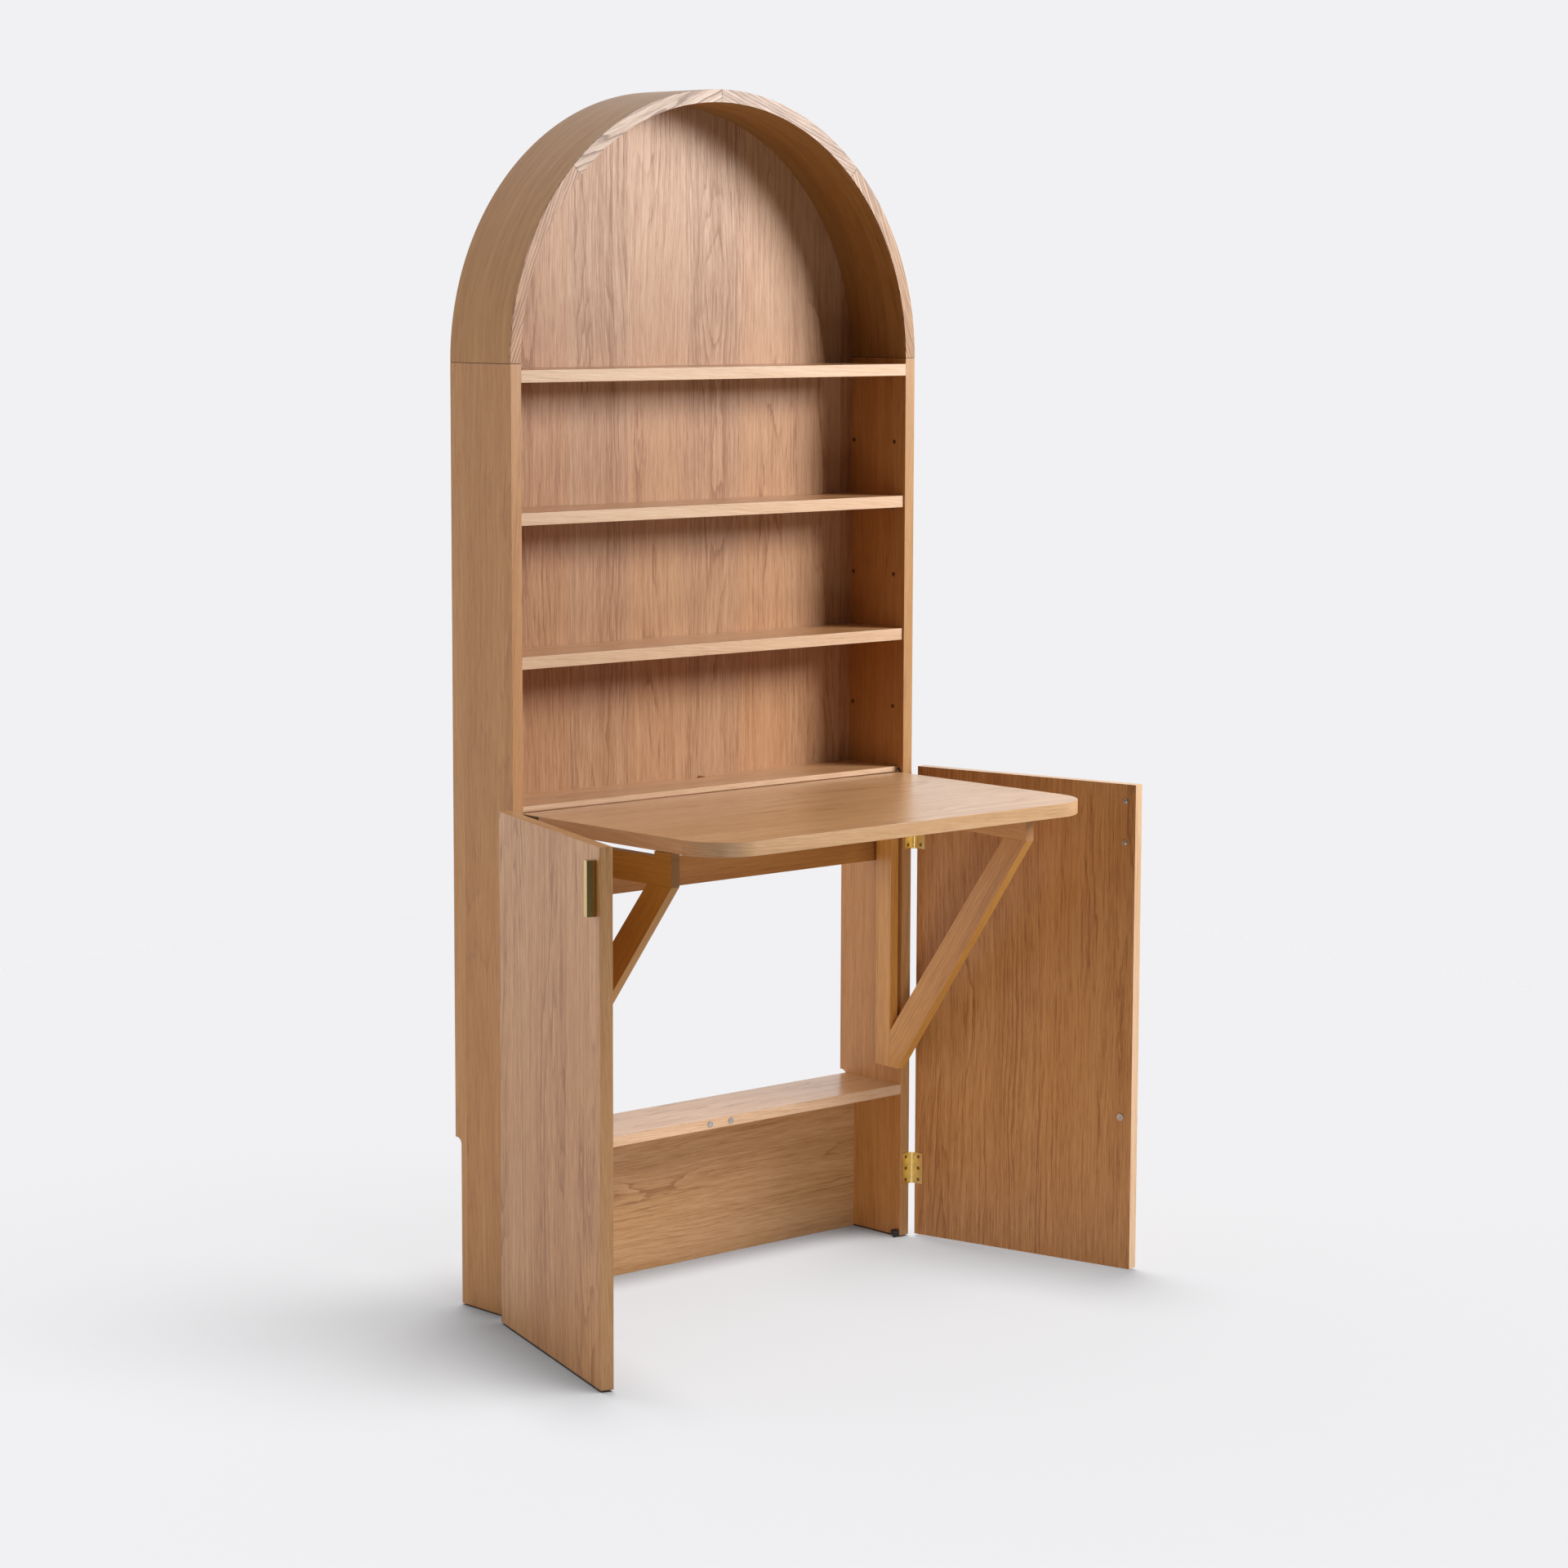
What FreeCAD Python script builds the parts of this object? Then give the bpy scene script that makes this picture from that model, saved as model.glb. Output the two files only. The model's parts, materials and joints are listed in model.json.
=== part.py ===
import FreeCAD, Part
import Sketcher
import os
import re
from FreeCAD import Placement, Rotation, Vector

# Bookcase with an arched top, two doors and a folding table on two swing brackets.
# X runs to the right, Y to the back, Z up. Heights are measured from the floor.
# In the expressions below, depths are measured from the front edges of the side panels,
# and the document's origin lies on the floor under the middle of the kick board.

doc = FreeCAD.newDocument("folding_table_bookcase")
sheet = doc.addObject("Spreadsheet::Sheet", "Sizes")

SIZES = (
    ("width", 800, "outside width over the side panels"),
    ("depth", 142, "depth of the side panels"),
    ("seam_height", 1400, "top of the side panels, where the arch starts"),
    ("panel_thick", 19, "thickness of the side panels and the arch"),
    ("panel_lift", 2, "gap under the side panels"),
    ("skirting_deep", 14, "depth of the cut-out for the skirting board"),
    ("skirting_high", 253, "height of the cut-out for the skirting board"),
    ("skirting_round", 10, "inner corner radius of the cut-out"),
    ("back_thick", 16, "thickness of the back panel"),
    ("back_inset", 2, "back panel and kick board set in from the rear"),
    ("shelf_thick", 18, "thickness of the shelves"),
    ("top_shelf_drop", 9, "fixed top shelf below the seam"),
    ("shelf_recess", 3, "adjustable shelf behind the front edges"),
    ("shelf_play", 1, "gap at the ends and the back of an adjustable shelf"),
    ("peg_first", 94.5, "lowest peg holes above the ledge"),
    ("peg_last", 103.5, "highest peg holes below the fixed top shelf"),
    ("peg_edge", 25, "peg hole centre from the panel edges"),
    ("peg_radius", 2.5, "shelf peg radius"),
    ("peg_in", 10, "peg length inside the panel"),
    ("peg_out", 8, "peg length under the shelf"),
    ("ledge_thick", 18, "thickness of the ledge"),
    ("ledge_gap", 2, "ledge front behind the table pivot"),
    ("lip_high", 8, "height of the ledge front lip"),
    ("lip_gap", 1, "ledge front lip above the table surface"),
    ("rebate_deep", 24, "depth of the rebate under the lip"),
    ("notch_centre", 32, "middle of the cable notch from the centre line"),
    ("notch_wide", 62, "width of the cable notch"),
    ("notch_deep", 22, "depth of the cable notch"),
    ("rail_gap", 1, "cross rail behind the folded brackets"),
    ("rail_thick", 18, "thickness of the cross rail"),
    ("rail_drop", 125, "underside of the cross rail below the table"),
    ("rail_high", 46, "height of the cross rail"),
    ("low_shelf_top", 249, "top of the low shelf"),
    ("low_shelf_thick", 16, "thickness of the low shelf"),
    ("kick_thick", 18, "thickness of the kick board"),
    ("table_top", 750, "height of the table surface"),
    ("table_thick", 21, "thickness of the table top"),
    ("table_front", 426, "table front edge ahead of the side panels"),
    ("table_rear", 8.5, "table rear edge behind the front edges"),
    ("table_play", 2, "gap between the table ends and the side panels"),
    ("table_round", 75, "radius of the table front corners"),
    ("pivot_back", 10, "table pivot behind the front edges"),
    ("pivot_rise", 2.2, "table pivot above the table surface"),
    ("pivot_radius", 2, "table pivot pin radius"),
    ("pivot_end", 2, "end of the table pivot pin from the end of its bush"),
    ("bush_radius", 4, "outside radius of the pivot bush"),
    ("bush_long", 12, "length of the pivot bush"),
    ("plate_thick", 1.5, "thickness of the pivot plate"),
    ("plate_long", 40, "length of the pivot plate"),
    ("plate_high", 16, "height of the pivot plate"),
    ("plate_drop", 1, "pivot plate below the table surface"),
    ("plate_ear", 4, "radius of the pivot plate ear"),
    ("plate_screw_head", 2.75, "head radius of the plate screws"),
    ("plate_screw_shank", 1.25, "shank radius of the plate screws"),
    ("plate_screw_long", 15, "length of the plate screws"),
    ("ear_gap", 1, "gap round the ear in the ledge corner"),
    ("running_gap", 0.05, "radial clearance of pins in moving parts"),
    ("bracket_thick", 15, "thickness of the swing brackets"),
    ("bracket_play", 1, "gap between an open bracket and its side panel"),
    ("bracket_reach", 330, "bracket tip ahead of the side panels"),
    ("bracket_rise", 30, "underside of the bracket post above the low shelf"),
    ("post_front", 3, "front face of the bracket post"),
    ("post_wide", 38, "depth of the bracket post"),
    ("arm_drop", 8, "top of the bracket arm below the table"),
    ("arm_high", 41, "height of the bracket arm"),
    ("block_long", 37, "length of the raised block at the tip"),
    ("bracket_gap", 0.4, "raised block below the table top"),
    ("brace_wide", 53.5, "length of the brace on the arm"),
    ("brace_rise", 59, "height of the brace on the post"),
    ("brace_foot", 18.5, "length of the brace foot ahead of the post"),
    ("bracket_right_angle", 6, "right bracket swung in, degrees"),
    ("small_knuckle", 2.6, "bracket hinge knuckle radius"),
    ("small_knuckle_gap", 0.4, "bracket hinge knuckle from the panel and the post"),
    ("small_pin", 1.2, "bracket hinge pin radius"),
    ("small_leaf", 1.2, "bracket hinge leaf thickness"),
    ("small_leaf_panel", 18, "bracket hinge leaf width on the panel"),
    ("small_leaf_in", 0.5, "bracket hinge leaf let into the panel"),
    ("small_leaf_post", 12, "bracket hinge leaf width on the post"),
    ("small_hinge_high", 40, "height of a bracket hinge"),
    ("small_hinge_low", 51, "middle of the lower bracket hinge above the post foot"),
    ("small_hinge_up", 41, "middle of the upper bracket hinge below the arm top"),
    ("small_screw_head", 2.5, "head radius of the bracket hinge screws"),
    ("small_screw_shank", 1.25, "shank radius of the bracket hinge screws"),
    ("small_screw_long", 13, "length of the bracket hinge screws"),
    ("small_screw_step", 12, "bracket hinge screws from the hinge middle"),
    ("door_thick", 19, "thickness of the doors"),
    ("door_mid_gap", 2.5, "gap between the closed doors"),
    ("door_drop", 0.5, "top of the doors below the ledge top"),
    ("door_low", 3, "underside of the doors"),
    ("door_left_angle", 108, "left door opened, degrees"),
    ("door_right_angle", 102.5, "right door opened, degrees"),
    ("hinge_out", 5, "door hinge pin outside the side panel"),
    ("hinge_knuckle", 3.5, "door hinge knuckle radius"),
    ("hinge_pin", 1.6, "door hinge pin radius"),
    ("hinge_leaf", 1.4, "door hinge leaf thickness"),
    ("hinge_leaf_gap", 0.2, "gap between the leaves of a closed door hinge"),
    ("hinge_leaf_on", 15, "door hinge leaf width on the wood"),
    ("hinge_high", 50, "height of a door hinge"),
    ("hinge_lower", 108, "middle of the lower door hinge above the door's underside"),
    ("hinge_upper", 106.5, "middle of the upper door hinge below the door's top"),
    ("hinge_screw_head", 3, "head radius of the door hinge screws"),
    ("hinge_screw_shank", 1.5, "shank radius of the door hinge screws"),
    ("hinge_screw_long", 16, "length of the door hinge screws"),
    ("hinge_screw_step", 18.5, "door hinge screws from the hinge middle"),
    ("hinge_screw_in", 7.5, "door hinge screws from the panel outside"),
    ("knuckle_gap", 0.3, "gap between two knuckles"),
    ("leaf_gap", 0.4, "gap between a leaf and the other knuckles"),
    ("head_share", 0.5, "height of a screw head as a share of its radius"),
    ("pull_edge", 12.5, "pull from the free edge of the door"),
    ("pull_wide", 11, "width of a pull"),
    ("pull_long", 78, "length of a pull"),
    ("pull_out", 14, "pull standing out of the door"),
    ("pull_drop", 58, "middle of a pull below the door's top"),
    ("pull_screw_end", 7, "pull screws from the ends of the pull"),
    ("pull_screw_head", 4, "head radius of the pull screws"),
    ("pull_screw_high", 2.2, "head height of the pull screws"),
    ("pull_screw_shank", 2, "shank radius of the pull screws"),
    ("pull_screw_in", 8, "pull screw length inside the pull"),
    ("catch_across", 21, "catch from the centre line"),
    ("magnet_radius", 5, "radius of a catch magnet"),
    ("magnet_long", 12, "length of a catch magnet"),
    ("magnet_out", 1.2, "catch magnet ahead of the shelf edge"),
    ("strike_radius", 6, "radius of a strike disc"),
    ("strike_thick", 1.5, "thickness of a strike disc"),
    ("strike_stem", 2.5, "radius of the strike disc stem"),
    ("strike_in", 6, "length of the strike disc stem"),
    ("dowel_radius", 4, "radius of the hidden dowels"),
    ("dowel_board", 18, "dowel length inside a board end"),
    ("dowel_panel", 12, "dowel length inside a side panel"),
    ("seam_dowel_half", 20, "half the length of a seam dowel"),
    ("dowel_front_share", 0.2, "front dowel, as a share of the panel depth"),
    ("dowel_middle_share", 0.4, "front dowel of the ledge, as a share of the panel depth"),
    ("dowel_rear_share", 0.67, "rear dowel, as a share of the panel depth"),
    ("rail_dowel_share", 0.25, "rail dowels from its edges, as a share of its height"),
    ("kick_dowel_share", 0.3, "kick board dowels from its edges, as a share of its height"),
    ("seam_dowel_share", 0.12, "seam dowels from the edges, as a share of the panel depth"),
    ("plate_screw_share", 0.2, "plate screws from the plate ends, as a share of its length"),
    ("panel_leaf_share", 0.67, "bracket hinge screws across the leaf on the panel"),
    ("post_leaf_share", 0.6, "bracket hinge screws across the leaf on the post"),
    ("foot_wide", 10, "width of a front foot"),
    ("foot_long", 9.5, "depth of a front foot"),
    ("foot_high", 12, "height of a front foot"),
    ("foot_front", 1, "front foot behind the front edges"),
    ("pad_radius", 4.2, "radius of the pad under a front foot"),
    ("pad_high", 3, "height of the pad under a front foot"),
    ("glide_radius", 6, "radius of the rear glides"),
    ("glide_in", 10, "rear glides ahead of the skirting cut-out"),
    ("glide_pin", 1.2, "radius of the pin of a glide"),
    ("glide_pin_long", 12, "length of the pin of a glide"),
)
for row, (alias, size, note) in enumerate(SIZES, start=1):
    sheet.set(f"A{row}", alias)
    sheet.set(f"B{row}", str(size))
    sheet.set(f"C{row}", note)
    sheet.setAlias(f"B{row}", alias)
doc.recompute()

ALIASES = re.compile(r"\b(" + "|".join(alias for alias, size, note in SIZES) + r")\b")

# Sizes that follow from the sheet.
HALF = "(width / 2)"
INNER = "(width / 2 - panel_thick)"
ORIGIN_BACK = "(depth - skirting_deep - back_inset - kick_thick / 2)"
NOTCH_PLANE = "(depth - skirting_deep)"
BACK_FRONT = "(depth - back_inset - back_thick)"
KICK_FRONT = "(depth - skirting_deep - back_inset - kick_thick)"
TOP_SHELF_TOP = "(seam_height - top_shelf_drop)"
LEDGE_TOP = "(table_top + lip_gap + lip_high)"
LEDGE_LOW = "(table_top + lip_gap + lip_high - ledge_thick)"
LEDGE_FRONT = "(pivot_back + ledge_gap)"
LOWEST_PEG = f"({LEDGE_TOP} + peg_first)"
HIGHEST_PEG = f"({TOP_SHELF_TOP} - shelf_thick - peg_last)"
TABLE_HALF = "(width / 2 - panel_thick - table_play)"
TABLE_LOW = "(table_top - table_thick)"
PIVOT_HIGH = "(table_top + pivot_rise)"
PIN_ACROSS = "(width / 2 + hinge_out)"
DOOR_GAP = "(2 * hinge_leaf + hinge_leaf_gap)"
DOOR_TOP = f"({LEDGE_TOP} - door_drop)"
PIN_BACK = f"(0 - {DOOR_GAP} / 2)"
PULL_MIDDLE = f"({DOOR_TOP} - pull_drop)"
SMALL_PIN_OFF = "(small_knuckle + small_knuckle_gap)"
SMALL_PIN_ACROSS = f"({INNER} - {SMALL_PIN_OFF})"
POST_REAR = "(post_front + post_wide)"
SMALL_PIN_BACK = f"({POST_REAR} + {SMALL_PIN_OFF})"
ARM_TOP = f"({TABLE_LOW} - arm_drop)"
ARM_LOW = f"({TABLE_LOW} - arm_drop - arm_high)"
BRACKET_LOW = "(low_shelf_top + bracket_rise)"
RAIL_FRONT = f"({SMALL_PIN_BACK} - {SMALL_PIN_OFF} + bracket_play + bracket_thick + rail_gap)"
RAIL_LOW = f"({TABLE_LOW} - rail_drop)"
BRACKET_OUT = "(width / 2 - panel_thick - bracket_play)"
BRACKET_IN = "(width / 2 - panel_thick - bracket_play - bracket_thick)"
PIVOT_LONG = "(table_play + bush_long - pivot_end)"
SIDES = (("left", -1), ("right", 1))
PEG_ROWS = 5
PEG_STEP = f"(({HIGHEST_PEG} - {LOWEST_PEG}) / {PEG_ROWS - 1})"
SHELF_ROWS = {"shelf_lower": 1, "shelf_upper": 3}
CLOSE = 0.001  # two corners closer than this are one corner

AIM = {
    "+x": Rotation(Vector(0, 1, 0), 90),
    "-x": Rotation(Vector(0, -1, 0), 90),
    "+y": Rotation(Vector(-1, 0, 0), 90),
    "-y": Rotation(Vector(1, 0, 0), 90),
    "+z": Rotation(Vector(0, 0, 1), 0),
}

pieces = []


def sized(text):
    return ALIASES.sub(r"Sizes.\1", text)


def back(text):
    return f"({text}) - {ORIGIN_BACK}"


def span(side, near, far):
    if side > 0:
        return near, far
    return f"0 - ({far})", f"0 - ({near})"


def across(side, text):
    return text if side > 0 else f"0 - ({text})"


def place(obj, x, y, z):
    for axis, text in (("x", x), ("y", back(y)), ("z", z)):
        obj.setExpression("Placement.Base." + axis, sized(text))


def box(name, xs, ys, zs):
    obj = doc.addObject("Part::Box", name)
    for prop, (low, high) in (("Length", xs), ("Width", ys), ("Height", zs)):
        obj.setExpression(prop, sized(f"({high}) - ({low})"))
    place(obj, xs[0], ys[0], zs[0])
    return obj


def rod(name, aim, start, length, radius):
    obj = doc.addObject("Part::Cylinder", name)
    obj.Placement = Placement(Vector(0, 0, 0), AIM[aim])
    obj.setExpression("Radius", sized(radius))
    obj.setExpression("Height", sized(length))
    place(obj, *start)
    return obj


def countersink(name, aim, start, radius, shank):
    obj = doc.addObject("Part::Cone", name)
    obj.Placement = Placement(Vector(0, 0, 0), AIM[aim])
    obj.setExpression("Radius1", sized(radius))
    obj.setExpression("Radius2", sized(shank))
    obj.setExpression("Height", sized(f"({radius}) * head_share"))
    place(obj, *start)
    return obj


def fuse(name, parts):
    obj = doc.addObject("Part::MultiFuse", name)
    obj.Shapes = parts
    obj.Refine = True
    return obj


def group(name, parts):
    obj = doc.addObject("Part::Compound", name)
    obj.Links = parts
    return obj


def cut(name, base, tools):
    obj = doc.addObject("Part::Cut", name)
    obj.Base = base
    obj.Tool = tools[0] if len(tools) == 1 else group(name + "_tools", tools)
    return obj


def screw(name, aim, start, length, head, shank):
    return fuse(name, [
        countersink(name + "_head", aim, start, head, shank),
        rod(name + "_shank", aim, start, length, shank),
    ])


def board(name, plane, corners, low, high):
    """A pad of a polygon: corners lie in the plane, low and high along its normal axis."""
    body = doc.addObject("PartDesign::Body", name)
    sketch = body.newObject("Sketcher::SketchObject", name + "_outline")
    origin_plane = [f for f in body.Origin.OriginFeatures if f.Role == plane][0]
    sketch.AttachmentSupport = [(origin_plane, "")]
    sketch.MapMode = "FlatFace"
    count = len(corners)
    start = [Vector(i, i * i, 0) for i in range(count)]
    for i in range(count):
        sketch.addGeometry(Part.LineSegment(start[i], start[(i + 1) % count]), False)
    for i in range(count):
        sketch.addConstraint(Sketcher.Constraint("Coincident", i, 2, (i + 1) % count, 1))
    for i, (u, v) in enumerate(corners):
        for kind, text in (("DistanceX", u), ("DistanceY", v)):
            here = start[i].x if kind == "DistanceX" else start[i].y
            number = sketch.addConstraint(Sketcher.Constraint(kind, -1, 1, i, 1, here))
            sketch.setExpression(f"Constraints[{number}]", sized(text))
    offset = f"0 - ({back(high)})" if plane == "XZ_Plane" else low
    sketch.setExpression("AttachmentOffset.Base.z", sized(offset))
    pad = body.newObject("PartDesign::Pad", name + "_pad")
    pad.Profile = sketch
    pad.setExpression("Length", sized(f"({high}) - ({low})"))
    body.Tip = pad
    return body


def round_edges(body, chosen, radius):
    doc.recompute()
    base = body.Tip
    names = [f"Edge{i}" for i, edge in enumerate(base.Shape.Edges, start=1) if chosen(edge)]
    fillet = body.newObject("PartDesign::Fillet", body.Name + "_round")
    fillet.Base = (base, names)
    fillet.setExpression("Radius", sized(radius))
    body.Tip = fillet
    doc.recompute()


def upright(edge):
    low, high = edge.Vertexes[0].Point, edge.Vertexes[-1].Point
    return abs(low.x - high.x) < CLOSE and abs(low.y - high.y) < CLOSE


def keep(name, obj, swing=None):
    """Names a finished piece; swing is a pin position, a turning axis and an angle."""
    if swing:
        pin_x, pin_y, turn_axis, angle = swing
        placed = group(name + "_placed", [obj])
        placed.Placement = Placement(Vector(0, 0, 0), Rotation(Vector(0, 0, turn_axis), 1))
        turned = f"(({angle}) * 1 deg)"
        signed = turned if turn_axis > 0 else f"(0 deg - {turned})"
        deep = f"({back(pin_y)})"
        placed.setExpression("Placement.Rotation.Angle", sized(turned))
        placed.setExpression("Placement.Base.x", sized(
            f"({pin_x}) - ({pin_x}) * cos({signed}) + {deep} * sin({signed})"))
        placed.setExpression("Placement.Base.y", sized(
            f"{deep} - ({pin_x}) * sin({signed}) - {deep} * cos({signed})"))
        obj = placed
    obj.Label = name
    pieces.append((name, obj))


# Screws, pegs, dowels and bushes come first, because the wood is cut to their shape.
fixed_tools = {"left": [], "right": []}
hinge_screws = {"left": [], "right": []}
door_screws = {"left": [], "right": []}
panel_leaves = []
door_leaves = {"left": [], "right": []}
door_pins = []
HINGES = (("lower", "(door_low + hinge_lower)"), ("upper", f"({DOOR_TOP} - hinge_upper)"))
for side, sign in SIDES:
    for level, middle in HINGES:
        stem = f"door_hinge_{side}_{level}"
        low = f"({middle} - hinge_high / 2)"
        step = "(hinge_high / 5)"
        pin_x = across(sign, PIN_ACROSS)
        pin = rod(stem + "_pin", "+z", (pin_x, PIN_BACK, low), "hinge_high", "hinge_pin")
        door_pins.append(pin)
        free = rod(stem + "_bore", "+z", (pin_x, PIN_BACK, low), "hinge_high",
                   "hinge_pin + running_gap")
        for part, ys, own in (("panel", ("0 - hinge_leaf", "0"), (0, 2, 4)),
                              ("door", (f"0 - {DOOR_GAP}", f"hinge_leaf - {DOOR_GAP}"), (1, 3))):
            xs = span(sign, f"{HALF} - hinge_leaf_on", PIN_ACROSS)
            solids = [box(f"{stem}_{part}_leaf", xs, ys, (low, f"{low} + hinge_high"))]
            gaps = []
            for k in range(5):
                bottom = f"{low} + {k} * {step}"
                if k in own:
                    solids.append(rod(f"{stem}_{part}_knuckle{k}", "+z",
                                      (pin_x, PIN_BACK, f"{bottom} + knuckle_gap / 2"),
                                      f"{step} - knuckle_gap", "hinge_knuckle"))
                else:
                    gaps.append(box(f"{stem}_{part}_gap{k}",
                                    span(sign, f"{PIN_ACROSS} - hinge_knuckle - leaf_gap",
                                         f"{PIN_ACROSS} + hinge_knuckle"),
                                    ys, (bottom, f"{bottom} + {step}")))
            screws = []
            for k in (-1, 0, 1):
                x = across(sign, f"{HALF} - hinge_screw_in")
                y, aim = (ys[0], "+y") if part == "panel" else (ys[1], "-y")
                screws.append(screw(f"{stem}_{part}_screw{k + 1}", aim,
                                    (x, y, f"{middle} + {k} * hinge_screw_step"),
                                    "hinge_screw_long", "hinge_screw_head", "hinge_screw_shank"))
            bore = pin if part == "panel" else free
            plain = cut(f"{stem}_{part}_plain", solids[0], gaps)
            leaf = cut(f"{stem}_{part}", fuse(f"{stem}_{part}_body", [plain] + solids[1:]),
                       [bore] + screws)
            if part == "panel":
                panel_leaves.append(leaf)
                hinge_screws[side] += screws
                fixed_tools[side] += screws
            else:
                door_leaves[side].append(leaf)
                door_screws[side] += screws

bracket_screws = {"left": [], "right": []}
small_screws = []
small_leaves = []
bracket_leaves = {"left": [], "right": []}
small_pins = []
SMALL_HINGES = (("lower", f"({BRACKET_LOW} + small_hinge_low)"), ("upper", f"({ARM_TOP} - small_hinge_up)"))
for side, sign in SIDES:
    for level, middle in SMALL_HINGES:
        stem = f"bracket_hinge_{side}_{level}"
        low = f"({middle} - small_hinge_high / 2)"
        step = "(small_hinge_high / 3)"
        pin_x = across(sign, SMALL_PIN_ACROSS)
        pin = rod(stem + "_pin", "+z", (pin_x, SMALL_PIN_BACK, low), "small_hinge_high", "small_pin")
        small_pins.append(pin)
        free = rod(stem + "_bore", "+z", (pin_x, SMALL_PIN_BACK, low), "small_hinge_high",
                   "small_pin + running_gap")
        for part, own in (("panel", (0, 2)), ("post", (1,))):
            if part == "panel":
                xs = span(sign, f"{INNER} + small_leaf_in - small_leaf", f"{INNER} + small_leaf_in")
                ys = (f"{SMALL_PIN_BACK} - small_leaf_panel", SMALL_PIN_BACK)
            else:
                xs = span(sign, f"{SMALL_PIN_ACROSS} - small_leaf_post", SMALL_PIN_ACROSS)
                ys = (POST_REAR, f"{POST_REAR} + small_leaf")
            leaf_box = box(f"{stem}_{part}_leaf", xs, ys, (low, f"{low} + small_hinge_high"))
            knuckles = []
            gaps = []
            for k in range(3):
                bottom = f"{low} + {k} * {step}"
                if k in own:
                    knuckles.append(rod(f"{stem}_{part}_knuckle{k}", "+z",
                                        (pin_x, SMALL_PIN_BACK, f"{bottom} + knuckle_gap / 2"),
                                        f"{step} - knuckle_gap", "small_knuckle"))
                elif part == "panel":
                    gaps.append(box(f"{stem}_{part}_gap{k}", xs,
                                    (f"{SMALL_PIN_BACK} - small_knuckle - leaf_gap", SMALL_PIN_BACK),
                                    (bottom, f"{bottom} + {step}")))
                else:
                    gaps.append(box(f"{stem}_{part}_gap{k}",
                                    span(sign, f"{SMALL_PIN_ACROSS} - small_knuckle - leaf_gap",
                                         SMALL_PIN_ACROSS),
                                    ys, (bottom, f"{bottom} + {step}")))
            screws = []
            for k in (-1, 1):
                z = f"{middle} + {k} * small_screw_step"
                if part == "panel":
                    at = (across(sign, f"{INNER} + small_leaf_in - small_leaf"),
                          f"{SMALL_PIN_BACK} - small_leaf_panel * panel_leaf_share", z)
                    aim = "+x" if sign > 0 else "-x"
                else:
                    at = (across(sign, f"{SMALL_PIN_ACROSS} - small_leaf_post * post_leaf_share"),
                          f"{POST_REAR} + small_leaf", z)
                    aim = "-y"
                screws.append(screw(f"{stem}_{part}_screw{k + 1}", aim, at,
                                    "small_screw_long", "small_screw_head", "small_screw_shank"))
            bore = pin if part == "panel" else free
            plain = cut(f"{stem}_{part}_plain", leaf_box, gaps)
            leaf = cut(f"{stem}_{part}", fuse(f"{stem}_{part}_body", [plain] + knuckles),
                       [bore] + screws)
            if part == "panel":
                small_leaves.append(leaf)
                small_screws += screws
                fixed_tools[side] += [leaf_box] + screws
            else:
                bracket_leaves[side].append(leaf)
                bracket_screws[side] += screws

# Shelf pegs: the rows of holes are spread evenly, and two of them hold pegs.
pegs = []
for side, sign in SIDES:
    aim = "-x" if sign > 0 else "+x"
    for k in range(PEG_ROWS):
        for row, y in (("front", "peg_edge"), ("rear", "depth - peg_edge")):
            at = (across(sign, f"{INNER} + peg_in"), y, f"{LOWEST_PEG} + {k} * {PEG_STEP}")
            stem = f"peg_{side}_{k}_{row}"
            fixed_tools[side].append(rod(stem + "_hole", aim, at, "peg_in", "peg_radius"))
            if k in SHELF_ROWS.values():
                pegs.append(rod(stem, aim, at, "peg_in + peg_out", "peg_radius"))

# Hidden dowels between the boards and the side panels, and in the seams of the arch.
DOWEL_FRONT = "depth * dowel_front_share"
DOWEL_MIDDLE = "depth * dowel_middle_share"
DOWEL_REAR = "depth * dowel_rear_share"
RAIL_MIDDLE = f"{RAIL_FRONT} + rail_thick / 2"
DOWELS = (
    ("top_shelf", f"{TOP_SHELF_TOP} - shelf_thick / 2", (DOWEL_FRONT, DOWEL_REAR)),
    ("ledge", f"{LEDGE_LOW} + ledge_thick / 2", (DOWEL_MIDDLE, f"{BACK_FRONT} - notch_deep / 2")),
    ("rail", f"{RAIL_LOW} + rail_high * rail_dowel_share", (RAIL_MIDDLE,)),
    ("rail_top", f"{RAIL_LOW} + rail_high * (1 - rail_dowel_share)", (RAIL_MIDDLE,)),
    ("low_shelf", "low_shelf_top - low_shelf_thick / 2", (DOWEL_FRONT, DOWEL_REAR)),
    ("kick", "(low_shelf_top - low_shelf_thick) * kick_dowel_share", (ORIGIN_BACK,)),
    ("kick_top", "(low_shelf_top - low_shelf_thick) * (1 - kick_dowel_share)", (ORIGIN_BACK,)),
)
dowels = []
for side, sign in SIDES:
    for name, z, depths in DOWELS:
        for k, y in enumerate(depths):
            aim = "+x" if sign > 0 else "-x"
            dowel = rod(f"dowel_{name}_{side}_{k}", aim, (across(sign, f"{INNER} - dowel_board"), y, z),
                        "dowel_board + dowel_panel", "dowel_radius")
            dowels.append(dowel)
            fixed_tools[side].append(dowel)
seam_dowels = []
for side, sign in SIDES:
    for k, y in enumerate(("depth * seam_dowel_share", "depth * (1 - seam_dowel_share)")):
        dowel = rod(f"seam_dowel_{side}_{k}", "+z",
                    (across(sign, f"{HALF} - panel_thick / 2"), y, "seam_height - seam_dowel_half"),
                    "2 * seam_dowel_half", "dowel_radius")
        seam_dowels.append(dowel)
        fixed_tools[side].append(dowel)

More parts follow.
